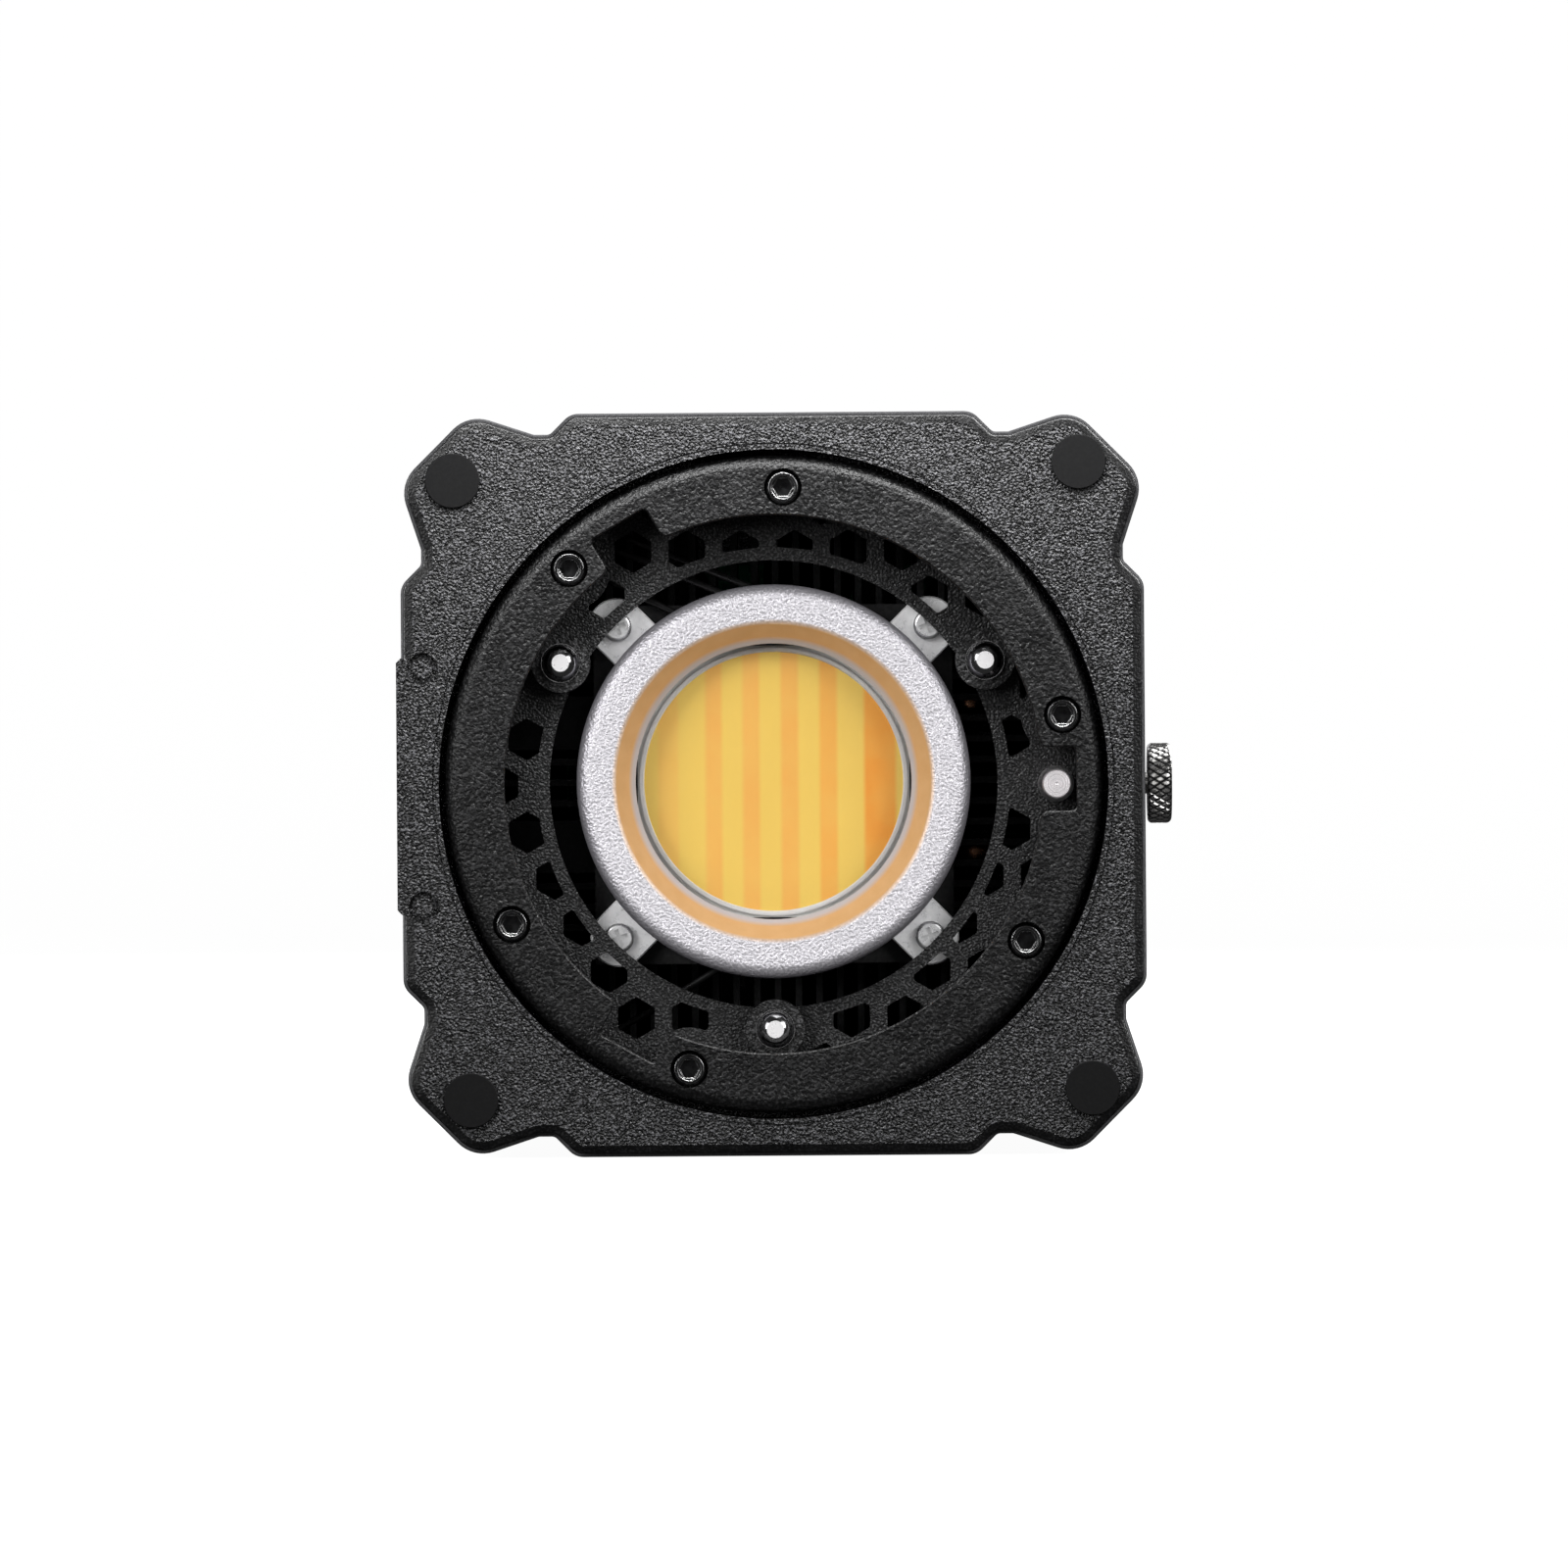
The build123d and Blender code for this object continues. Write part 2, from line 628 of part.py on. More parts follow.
front_cover.part.label = "front_cover"
export_step(front_cover.part, "parts/front_cover.step")

with BuildPart() as front_cover_screws:
    with Locations(*[facing_front(FRONT_Y, x, AXIS_Z + z) for x, z in CORNER_POINTS]):
        with Locations((0, 0, -COVER_SCREW_HEAD_HEIGHT / 2)):
            Cone(COVER_SCREW_R, COVER_SCREW_HEAD_R, COVER_SCREW_HEAD_HEIGHT)
        with Locations((0, 0, -COVER_SCREW_LENGTH / 2)):
            Cylinder(COVER_SCREW_R, COVER_SCREW_LENGTH)

front_cover_screws.part.label = "front_cover_screws"
export_step(front_cover_screws.part, "parts/front_cover_screws.step")

with BuildPart() as rubber_pads:
    with BuildSketch(facing_front(FRONT_Y)):
        with Locations(*PAD_CENTRES):
            Circle(PAD_R)
    extrude(amount=PAD_THICKNESS)
    chamfer(rubber_pads.faces().group_by(Axis.Y)[0].edges(), 0.15)

rubber_pads.part.label = "rubber_pads"
export_step(rubber_pads.part, "parts/rubber_pads.step")

# ---------------------------------------------------------------- housing shell

with BuildPart() as housing_shell:
    with BuildSketch(facing_front(SHELL_REAR_Y)):
        add(OUTER)
        add(INNER, mode=Mode.SUBTRACT)
    extrude(amount=SHELL_REAR_Y - SHELL_FRONT_Y)
    # Screw bosses inside the ears at both ends.
    for boss_rear in (SHELL_FRONT_Y + CORNER_BOSS_LENGTH, SHELL_REAR_Y):
        with BuildSketch(facing_front(boss_rear)):
            with Locations(*CORNER_POINTS):
                Circle(CORNER_BOSS_R)
        extrude(amount=CORNER_BOSS_LENGTH)
        with BuildSketch(facing_front(boss_rear)):
            with Locations(*CORNER_POINTS):
                Circle(COVER_SCREW_R)
        extrude(amount=CORNER_BOSS_LENGTH, mode=Mode.SUBTRACT)
    # The shallow pocket for the side plate on the left, and its screw holes.
    with BuildSketch(facing_left(-HALF, 0)):
        Rectangle(SHELL_REAR_Y - SHELL_FRONT_Y, 2 * SIDE_BAR_HALF)
    extrude(amount=SIDE_POCKET, mode=Mode.SUBTRACT)
    with BuildSketch(facing_left(-HALF, 0)):
        with Locations(*SIDE_SCREW_POINTS):
            Circle(SIDE_SCREW_R)
    extrude(amount=SHELL_WALL, mode=Mode.SUBTRACT)
    # The slot in which the release knob's neck slides.
    with BuildSketch(facing_left(HALF - SHELL_WALL - 0.5, CARRIAGE_Y + LOCK_TRAVEL / 2, LOCK_Z)):
        SlotOverall(LOCK_TRAVEL + 2 * KNOB_SLOT_HALF, 2 * KNOB_SLOT_HALF)
    extrude(amount=SHELL_WALL + 1, mode=Mode.SUBTRACT)
    # Exhaust slots through the top and the right side.
    with BuildSketch(Plane.XY.offset(BODY_WIDTH - SHELL_WALL - 0.5)):
        with Locations((0, VENT_Y)):
            with GridLocations(0, VENT_PITCH, 1, VENT_COUNT):
                SlotOverall(VENT_LENGTH, VENT_WIDTH)
    extrude(amount=SHELL_WALL + 1, mode=Mode.SUBTRACT)
    with BuildSketch(facing_left(HALF - SHELL_WALL - 0.5, VENT_Y)):
        with GridLocations(VENT_PITCH, 0, VENT_COUNT, 1):
            SlotOverall(VENT_LENGTH, VENT_WIDTH, rotation=90)
    extrude(amount=SHELL_WALL + 1, mode=Mode.SUBTRACT)
    # The stand bush's hole and the countersunk holes of the stand plate.
    with BuildSketch(Plane.XY):
        Circle(STAND_BUSH_R)
    extrude(amount=SHELL_WALL, mode=Mode.SUBTRACT)
    with Locations(*[Plane(origin=(x, y, 0), z_dir=(0, 0, -1)) for x, y in STAND_SCREW_POINTS]):
        CounterSinkHole(COVER_SCREW_R, COVER_SCREW_HEAD_R, depth=SHELL_WALL + 1)
    # The heat sink's countersunk screws in the top.
    with Locations(*[Plane(origin=(x, y, BODY_WIDTH), z_dir=(0, 0, 1)) for x, y in SINK_SCREW_POINTS]):
        CounterSinkHole(COVER_SCREW_R, COVER_SCREW_HEAD_R, depth=SHELL_WALL + 1)
    # Both end rims are broken with a small chamfer.
    rims = housing_shell.faces().filter_by(Axis.Y).group_by(Axis.Y)
    chamfer([rims[0][0].outer_wire().edges(), rims[-1][0].outer_wire().edges()], 0.3)

housing_shell.part.label = "housing_shell"
export_step(housing_shell.part, "parts/housing_shell.step")

SIDE_SEATS = [
    Plane(origin=(-HALF - SIDE_BAR_RISE, y, AXIS_Z + z), z_dir=(-1, 0, 0))
    for y, z in SIDE_SCREW_POINTS
]

with BuildPart() as side_plate:
    with BuildSketch(facing_left(-HALF - SIDE_BAR_RISE, 0)):
        Rectangle(SHELL_REAR_Y - SHELL_FRONT_Y, 2 * SIDE_BAR_HALF)
    extrude(amount=SIDE_BAR_RISE + SIDE_POCKET)
    outer_edges = side_plate.faces().sort_by(Axis.X)[0].edges().filter_by(Axis.Y)
    chamfer(outer_edges, SIDE_BAR_RISE - 0.05)
    with Locations(*SIDE_SEATS):
        CounterSinkHole(SIDE_SCREW_R + 0.1, SIDE_SCREW_HEAD_R, depth=SIDE_BAR_RISE + SIDE_POCKET + 1)

side_plate.part.label = "side_plate"
export_step(side_plate.part, "parts/side_plate.step")

side_screws = [countersunk_screw(seat, SIDE_SCREW_HEAD_R - 0.05, 1.4, 5.0) for seat in SIDE_SEATS]

with BuildPart() as side_plate_screws:
    add(side_screws)

side_plate_screws.part.label = "side_plate_screws"
export_step(side_plate_screws.part, "parts/side_plate_screws.step")

# ---------------------------------------------------------------- bayonet ring

with BuildPart() as mount_ring:
    # A disc with a softly rounded outer edge, hollowed from behind into a skirt.
    with BuildSketch(facing_front(PLATE_FRONT_Y)):
        Circle(RING_OUTER_R)
    extrude(amount=PLATE_FRONT_Y - RING_FACE_Y)
    fillet(mount_ring.faces().sort_by(Axis.Y)[0].edges(), RING_EDGE_R)
    with BuildSketch(facing_front(PLATE_FRONT_Y)):
        Circle(RING_SKIRT_R)
    extrude(amount=PLATE_FRONT_Y - RING_BACK_Y, mode=Mode.SUBTRACT)
    with BuildSketch(facing_front(PLATE_FRONT_Y)):
        with Locations(*RING_SCREW_POINTS):
            Circle(RING_POST_R)
    extrude(amount=PLATE_FRONT_Y - RING_BACK_Y)
    # The bore and the three lug slots, whose mouths and corners are rounded.
    slot_start_r = RING_BORE_R - 4
    with BuildSketch(facing_front(RING_BACK_Y + 1)) as opening:
        Circle(RING_BORE_R)
        with PolarLocations((LUG_SLOT_OUTER_R + slot_start_r) / 2, LUG_SLOT_COUNT, LUG_SLOT_TURN):
            Rectangle(LUG_SLOT_OUTER_R - slot_start_r, LUG_SLOT_WIDTH)
        far = [v for v in opening.vertices() if (v.X**2 + v.Y**2) ** 0.5 > RING_BORE_R + 1]
        fillet(far, LUG_SLOT_FAR_R)
        near = [v for v in opening.vertices() if abs((v.X**2 + v.Y**2) ** 0.5 - RING_BORE_R) < 0.01]
        fillet(near, LUG_SLOT_NEAR_R)
    extrude(amount=RING_BACK_Y + 1 - RING_FACE_Y, mode=Mode.SUBTRACT)
    chamfer(mount_ring.faces().sort_by(Axis.Y)[0].inner_wires()[0].edges(), RING_BREAK)
    # Counterbored screw holes through the face and the posts.
    with Locations(*[facing_front(RING_FACE_Y, x, AXIS_Z + z) for x, z in RING_SCREW_POINTS]):
        CounterBoreHole(RING_SCREW_R + 0.15, RING_COUNTERBORE_R, RING_COUNTERBORE_DEPTH)

mount_ring.part.label = "mount_ring"
export_step(mount_ring.part, "parts/mount_ring.step")

with BuildPart() as mount_ring_screws:
    head_y = RING_FACE_Y + RING_COUNTERBORE_DEPTH
    face_y = head_y - RING_HEAD_HEIGHT
    for x, z in RING_SCREW_POINTS:
        with BuildSketch(facing_front(head_y, x, AXIS_Z + z)):
            Circle(RING_HEAD_R)
        extrude(amount=RING_HEAD_HEIGHT)
    chamfer(mount_ring_screws.faces().group_by(Axis.Y)[0].edges(), 0.35)
    for x, z in RING_SCREW_POINTS:
        with BuildSketch(facing_front(LEDGE_BACK_Y, x, AXIS_Z + z)):
            Circle(RING_SCREW_R)
        extrude(amount=LEDGE_BACK_Y - head_y)
        with BuildSketch(facing_front(face_y + HEX_SOCKET_DEPTH, x, AXIS_Z + z)):
            RegularPolygon(HEX_SOCKET_R, 6, major_radius=False)
        extrude(amount=HEX_SOCKET_DEPTH, mode=Mode.SUBTRACT)
        with BuildSketch(facing_front(face_y + HEX_MOUTH_DEPTH, x, AXIS_Z + z)):
            Circle(HEX_MOUTH_R)
        extrude(amount=HEX_MOUTH_DEPTH, mode=Mode.SUBTRACT)

mount_ring_screws.part.label = "mount_ring_screws"
export_step(mount_ring_screws.part, "parts/mount_ring_screws.step")

# ---------------------------------------------------------------- honeycomb plate and plungers


def honeycomb_cells():
    """The hexagonal cells between the plate's solid bands, clear of every boss."""
    row_rise = CELL_PITCH * sin(radians(60))
    centres = []
    rows = int(PLATE_OUTER_R / row_rise) + 1
    columns = int(PLATE_OUTER_R / CELL_PITCH) + 2
    for row in range(-rows, rows + 1):
        for column in range(-columns, columns + 1):
            x = CELL_SHIFT_X + (column + 0.5 * (row % 2)) * CELL_PITCH
            z = row * row_rise
            reach = (x * x + z * z) ** 0.5
            if PLATE_INNER_BAND_R - CELL_FLATS / 2 < reach < PLATE_OUTER_BAND_R + CELL_FLATS / 2:
                centres.append((x, z))
    with BuildSketch(mode=Mode.PRIVATE) as cells:
        with Locations(*centres):
            RegularPolygon(CELL_FLATS / 2, 6, major_radius=False, rotation=30)
        Circle(PLATE_OUTER_BAND_R, mode=Mode.INTERSECT)
        Circle(PLATE_INNER_BAND_R, mode=Mode.SUBTRACT)
        with Locations(*RING_SCREW_POINTS):
            Circle(CELL_SCREW_CLEAR_R, mode=Mode.SUBTRACT)
        with Locations(*PLUNGER_POINTS):
            Circle(CELL_PLUNGER_CLEAR_R, mode=Mode.SUBTRACT)
        with Locations(LOCK_POINT):
            Circle(CELL_LOCK_CLEAR_R, mode=Mode.SUBTRACT)
    with BuildSketch(mode=Mode.PRIVATE) as rounded:
        open_cells = [c for c in cells.faces() if c.area > CELL_MIN_WIDTH * c.outer_wire().length / 2]
        for cell in open_cells:
            shrunk = offset(cell, amount=-CELL_CORNER_R, mode=Mode.PRIVATE)
            for piece in shrunk.faces():
                add(offset(piece, amount=CELL_CORNER_R, kind=Kind.ARC, mode=Mode.PRIVATE))
    return rounded.sketch


CELLS = honeycomb_cells()

with BuildPart() as honeycomb_plate:
    with BuildSketch(facing_front(PLATE_BACK_Y)):
        Circle(PLATE_OUTER_R)
        Circle(PLATE_INNER_R, mode=Mode.SUBTRACT)
        add(CELLS, mode=Mode.SUBTRACT)
        with Locations(*RING_SCREW_POINTS):
            Circle(RING_SCREW_R + 0.15, mode=Mode.SUBTRACT)
        with Locations(LOCK_POINT):
            Circle(LOCK_HOLE_R, mode=Mode.SUBTRACT)
    extrude(amount=PLATE_THICKNESS)
    # Tubular plunger bosses that stand out in front of the plate and reach back behind it.
    for x, z in PLUNGER_POINTS:
        with BuildSketch(facing_front(PLATE_BACK_Y + PLUNGER_BOSS_BACK, x, AXIS_Z + z)):
            Circle(PLUNGER_BOSS_R)
        extrude(amount=BOSS_LENGTH)
    for x, z in PLUNGER_POINTS:
        with BuildSketch(facing_front(PLATE_BACK_Y + PLUNGER_BOSS_BACK, x, AXIS_Z + z)):
            Circle(PLUNGER_CHAMBER_R)
        extrude(amount=BOSS_LENGTH - PLUNGER_LIP, mode=Mode.SUBTRACT)
        with BuildSketch(facing_front(PLATE_FRONT_Y, x, AXIS_Z + z)):
            Circle(PLUNGER_TIP_R + 0.1)
        extrude(amount=PLUNGER_BOSS_RISE, mode=Mode.SUBTRACT)

honeycomb_plate.part.label = "honeycomb_plate"
export_step(honeycomb_plate.part, "parts/honeycomb_plate.step")

BOSS_FRONT_Y = PLATE_FRONT_Y - PLUNGER_BOSS_RISE
BOSS_REAR_Y = PLATE_BACK_Y + PLUNGER_BOSS_BACK
FLANGE_FRONT_Y = BOSS_FRONT_Y + PLUNGER_LIP + 0.05
FLANGE_BACK_Y = FLANGE_FRONT_Y + PLUNGER_FLANGE_THICKNESS
CAP_FRONT_Y = BOSS_REAR_Y - PLUNGER_CAP_THICKNESS
TIP_FRONT_Y = BOSS_FRONT_Y - PLUNGER_OUT

for number, (x, z) in enumerate(PLUNGER_POINTS, start=1):
    spring = coil_spring(
        x,
        AXIS_Z + z,
        FLANGE_BACK_Y,
        CAP_FRONT_Y,
        PLUNGER_SPRING_R,
        PLUNGER_SPRING_TURNS,
    )

    # A bullet-nosed pin with a retaining flange and a thin stem that guides it in the cap.
    with BuildPart() as plunger_pin:
        with BuildSketch(Plane(origin=(x, 0, AXIS_Z + z), x_dir=(1, 0, 0), z_dir=(0, 0, 1))):
            with BuildLine():
                nose_start = (PLUNGER_TIP_R - 1.9, TIP_FRONT_Y)
                nose_middle = (PLUNGER_TIP_R - 0.75, TIP_FRONT_Y + 0.85)
                nose_end = (PLUNGER_TIP_R, TIP_FRONT_Y + 2.5)
                Line((0, TIP_FRONT_Y), nose_start)
                ThreePointArc(nose_start, nose_middle, nose_end)
                Polyline(
                    nose_end,
                    (PLUNGER_TIP_R, FLANGE_FRONT_Y),
                    (PLUNGER_FLANGE_R, FLANGE_FRONT_Y),
                    (PLUNGER_FLANGE_R, FLANGE_BACK_Y),
                    (PLUNGER_STEM_R, FLANGE_BACK_Y),
                    (PLUNGER_STEM_R, BOSS_REAR_Y + 0.5),
                    (0, BOSS_REAR_Y + 0.5),
                    (0, TIP_FRONT_Y),
                )
            make_face()
        revolve(axis=Axis((x, 0, AXIS_Z + z), (0, 1, 0)))
    plunger_pin.part.label = f"plunger_pin_{number}"
    export_step(plunger_pin.part, f"parts/plunger_pin_{number}.step")

    with BuildPart() as plunger_spring:
        add(spring)
    plunger_spring.part.label = f"plunger_spring_{number}"
    export_step(plunger_spring.part, f"parts/plunger_spring_{number}.step")

with BuildPart() as plunger_caps:
    with BuildSketch(facing_front(BOSS_REAR_Y)):
        with Locations(*PLUNGER_POINTS):
            Circle(PLUNGER_CHAMBER_R)
            Circle(PLUNGER_STEM_R + 0.05, mode=Mode.SUBTRACT)
    extrude(amount=PLUNGER_CAP_THICKNESS)

plunger_caps.part.label = "plunger_caps"
export_step(plunger_caps.part, "parts/plunger_caps.step")

# ---------------------------------------------------------------- bayonet lock

with BuildPart() as lock_pin:
    with BuildSketch(facing_front(CARRIAGE_BACK_Y, LOCK_X, LOCK_Z)):
        Circle(LOCK_PIN_R)
    extrude(amount=CARRIAGE_BACK_Y - LOCK_TIP_Y)
    chamfer(lock_pin.faces().sort_by(Axis.Y)[0].edges(), LOCK_PIN_EDGE)

lock_pin.part.label = "lock_pin"
export_step(lock_pin.part, "parts/lock_pin.step")

with BuildPart() as lock_carriage:
    with BuildSketch(facing_front(CARRIAGE_BACK_Y, 0, LOCK_Z)):
        with Locations((LOCK_X, 0)):
            Circle(CARRIAGE_NOSE_R)
        with Locations(((LOCK_X + CARRIAGE_RIGHT_X) / 2, 0)):
            Rectangle(CARRIAGE_RIGHT_X - LOCK_X, 2 * CARRIAGE_NOSE_R)
        with Locations(((CARRIAGE_WING_X + CARRIAGE_RIGHT_X) / 2, 0)):
            Rectangle(CARRIAGE_RIGHT_X - CARRIAGE_WING_X, 2 * CARRIAGE_WING_HALF)
        with Locations((LOCK_X, 0)):
            Circle(LOCK_PIN_R, mode=Mode.SUBTRACT)
        with Locations((ROD_X, ROD_OFFSET_Z), (ROD_X, -ROD_OFFSET_Z)):
            Circle(ROD_R + 0.05, mode=Mode.SUBTRACT)
    extrude(amount=CARRIAGE_THICKNESS)
    # The threaded stud that carries the knob out through the shell's slot.
    with BuildSketch(facing_left(CARRIAGE_RIGHT_X - 0.5, CARRIAGE_Y, LOCK_Z)):
        Circle(STUD_R)
    extrude(amount=STUD_END_X - CARRIAGE_RIGHT_X + 0.5)

lock_carriage.part.label = "lock_carriage"
export_step(lock_carriage.part, "parts/lock_carriage.step")

with BuildPart() as lock_rods:
    with BuildSketch(facing_front(ROD_END_Y)):
        with Locations(*ROD_POINTS):
            Circle(ROD_R)
    extrude(amount=ROD_END_Y - ROD_FRONT_Y)
    with BuildSketch(facing_front(ROD_END_Y)):
        with Locations(*ROD_POINTS):
            Circle(ROD_HEAD_R)
    extrude(amount=ROD_HEAD_THICKNESS)

lock_rods.part.label = "lock_rods"
export_step(lock_rods.part, "parts/lock_rods.step")

rod_springs = [
    coil_spring(
        x,
        AXIS_Z + z,
        CARRIAGE_BACK_Y,
        ROD_END_Y - ROD_HEAD_THICKNESS,
        ROD_SPRING_R,
        ROD_SPRING_TURNS,
    )
    for x, z in ROD_POINTS
]

with BuildPart() as lock_springs:
    add(rod_springs)

lock_springs.part.label = "lock_springs"
export_step(lock_springs.part, "parts/lock_springs.step")

knob_middle = Plane(
    origin=(HALF + KNOB_GAP + KNOB_THICKNESS / 2, CARRIAGE_Y, LOCK_Z),
    x_dir=(0, 1, 0),
    z_dir=(1, 0, 0),
)

with BuildPart() as release_knob:
    with BuildSketch(facing_left(HALF + KNOB_GAP, CARRIAGE_Y, LOCK_Z)):
        Circle(KNOB_R)
    extrude(amount=KNOB_THICKNESS)
    fillet(release_knob.faces().group_by(Axis.X)[-1].edges(), 1.0)
    fillet(release_knob.faces().group_by(Axis.X)[0].edges(), 0.8)
    # The rim is cut by two crossing sets of slanted grooves into diamonds.
    for lean in (-KNURL_LEAN, KNURL_LEAN):
        with Locations(knob_middle):
            with PolarLocations(KNURL_CUT_R, KNURL_COUNT):
                with Locations(Rotation(lean, 0, 0)):
                    Box(
                        KNURL_GROOVE,
                        KNURL_GROOVE,
                        KNOB_THICKNESS * 2,
                        rotation=(0, 0, 45),
                        mode=Mode.SUBTRACT,
                    )
    # The neck that passes through the shell's slot, and the bore for the carriage's stud.
    with BuildSketch(facing_left(CARRIAGE_RIGHT_X, CARRIAGE_Y, LOCK_Z)):
        Circle(KNOB_NECK_R)
    extrude(amount=HALF + KNOB_GAP - CARRIAGE_RIGHT_X + 0.5)
    with BuildSketch(facing_left(CARRIAGE_RIGHT_X, CARRIAGE_Y, LOCK_Z)):
        Circle(STUD_R)
    extrude(amount=STUD_END_X - CARRIAGE_RIGHT_X, mode=Mode.SUBTRACT)

release_knob.part.label = "release_knob"
export_step(release_knob.part, "parts/release_knob.step")

# ---------------------------------------------------------------- LED module

with BuildPart() as led_board:
    with BuildSketch(facing_front(CORE_FRONT_Y, 0, LED_Z)):
        RectangleRounded(BOARD_SIDE, BOARD_SIDE, 2.0)
        with Locations(*TAB_POINTS):
            Circle(TAB_R + 1.5, mode=Mode.SUBTRACT)
    extrude(amount=BOARD_THICKNESS)

led_board.part.label = "led_board"
export_step(led_board.part, "parts/led_board.step")

BOARD_FRONT_Y = CORE_FRONT_Y - BOARD_THICKNESS
RETAINER_FRONT_Y = BOARD_FRONT_Y - RETAINER_THICKNESS

with BuildPart() as led_dam:
    with BuildSketch(facing_front(BOARD_FRONT_Y, 0, LED_Z)):
        Circle(DAM_R)
        Circle(PHOSPHOR_R, mode=Mode.SUBTRACT)
    extrude(amount=DAM_HEIGHT)
    fillet(led_dam.faces().sort_by(Axis.Y)[0].edges(), DAM_EDGE_R)

led_dam.part.label = "led_dam"
export_step(led_dam.part, "parts/led_dam.step")

with BuildPart() as led_phosphor:
    with BuildSketch(facing_front(BOARD_FRONT_Y, 0, LED_Z)):
        Circle(PHOSPHOR_R)
    extrude(amount=PHOSPHOR_THICKNESS)

led_phosphor.part.label = "led_phosphor"
export_step(led_phosphor.part, "parts/led_phosphor.step")

with BuildPart() as led_retainer:
    # A plate under the bezel with a round-ended tab towards each corner.
    with BuildSketch(facing_front(BOARD_FRONT_Y, 0, LED_Z)):
        Circle(BEZEL_OUTER_R - RETAINER_GAP)
        with PolarLocations(TAB_REACH / 2, 4, 45):
            Rectangle(TAB_REACH, 2 * TAB_WIDTH_HALF)
        with Locations(*TAB_POINTS):
            Circle(TAB_WIDTH_HALF)
        Circle(DAM_R + 0.6, mode=Mode.SUBTRACT)
    extrude(amount=RETAINER_THICKNESS)
    # Feet under the tabs that stand on the heat sink beside the board.
    with BuildSketch(facing_front(CORE_FRONT_Y, 0, LED_Z)):
        with Locations(*TAB_POINTS):
            Circle(TAB_R)
    extrude(amount=BOARD_THICKNESS)
    with Locations(*[facing_front(RETAINER_FRONT_Y, x, LED_Z + z) for x, z in TAB_POINTS]):
        Hole(TAB_HOLE_R)
    front = led_retainer.faces().filter_by(Axis.Y).sort_by(Axis.Y)[0]
    chamfer(front.outer_wire().edges(), RING_BREAK)

led_retainer.part.label = "led_retainer"
export_step(led_retainer.part, "parts/led_retainer.step")

with BuildPart() as led_retainer_screws:
    for x, z in TAB_POINTS:
        with BuildSketch(facing_front(RETAINER_FRONT_Y, x, LED_Z + z)):
            Circle(TAB_HEAD_R)
        extrude(amount=TAB_HEAD_HEIGHT)
    fillet(led_retainer_screws.faces().group_by(Axis.Y)[0].edges(), 0.7)
    for x, z in TAB_POINTS:
        with BuildSketch(facing_front(CORE_FRONT_Y + TAB_SCREW_DEPTH, x, LED_Z + z)):
            Circle(TAB_THREAD_R)
        extrude(amount=CORE_FRONT_Y + TAB_SCREW_DEPTH - RETAINER_FRONT_Y)
        with BuildSketch(facing_front(RETAINER_FRONT_Y - 0.4, x, LED_Z + z)):
            Rectangle(CROSS_LENGTH, CROSS_WIDTH, rotation=20)
            Rectangle(CROSS_WIDTH, CROSS_LENGTH, rotation=20)
        extrude(amount=TAB_HEAD_HEIGHT, mode=Mode.SUBTRACT)

led_retainer_screws.part.label = "led_retainer_screws"
export_step(led_retainer_screws.part, "parts/led_retainer_screws.step")

with BuildPart() as led_bezel:
    # A turned ring: rounded outer edge, flat face, a cone down to the throat, a glass seat behind.
    with BuildSketch(Plane(origin=(0, 0, LED_Z), x_dir=(1, 0, 0), z_dir=(0, 0, 1))):
        with BuildLine():
            Polyline(
                (BEZEL_FACE_INNER_R, BEZEL_FRONT_Y),
                (BEZEL_OUTER_R - BEZEL_EDGE_R, BEZEL_FRONT_Y),
            )
            RadiusArc(
                (BEZEL_OUTER_R - BEZEL_EDGE_R, BEZEL_FRONT_Y),
                (BEZEL_OUTER_R, BEZEL_FRONT_Y + BEZEL_EDGE_R),
                -BEZEL_EDGE_R,
            )
            Polyline(
                (BEZEL_OUTER_R, BEZEL_FRONT_Y + BEZEL_EDGE_R),
                (BEZEL_OUTER_R, RETAINER_FRONT_Y),
                (GLASS_SEAT_R, RETAINER_FRONT_Y),
                (GLASS_SEAT_R, GLASS_FRONT_Y),
                (BEZEL_THROAT_R, GLASS_FRONT_Y),
                (BEZEL_THROAT_R, BEZEL_FRONT_Y + BEZEL_CONE_DEPTH),
                (BEZEL_FACE_INNER_R, BEZEL_FRONT_Y),
            )
        make_face()
    revolve(axis=Axis((0, 0, LED_Z), (0, 1, 0)))
    circles = led_bezel.edges().filter_by(GeomType.CIRCLE)
    fillet([edge for edge in circles if abs(edge.radius - BEZEL_FACE_INNER_R) < 0.01], BEZEL_LIP_R)

led_bezel.part.label = "led_bezel"
export_step(led_bezel.part, "parts/led_bezel.step")

with BuildPart() as led_glass:
    with BuildSketch(facing_front(GLASS_FRONT_Y + GLASS_THICKNESS, 0, LED_Z)):
        Circle(GLASS_R)
    extrude(amount=GLASS_THICKNESS)

led_glass.part.label = "led_glass"
export_step(led_glass.part, "parts/led_glass.step")

with BuildPart() as glass_seal:
    with BuildSketch(facing_front(RETAINER_FRONT_Y, 0, LED_Z)):
        Circle(GLASS_R)
        Circle(GLASS_R - SEAL_WIDTH, mode=Mode.SUBTRACT)
    extrude(amount=RETAINER_FRONT_Y - GLASS_FRONT_Y - GLASS_THICKNESS)

glass_seal.part.label = "glass_seal"
export_step(glass_seal.part, "parts/glass_seal.step")

# ---------------------------------------------------------------- heat sink, pipes and leads

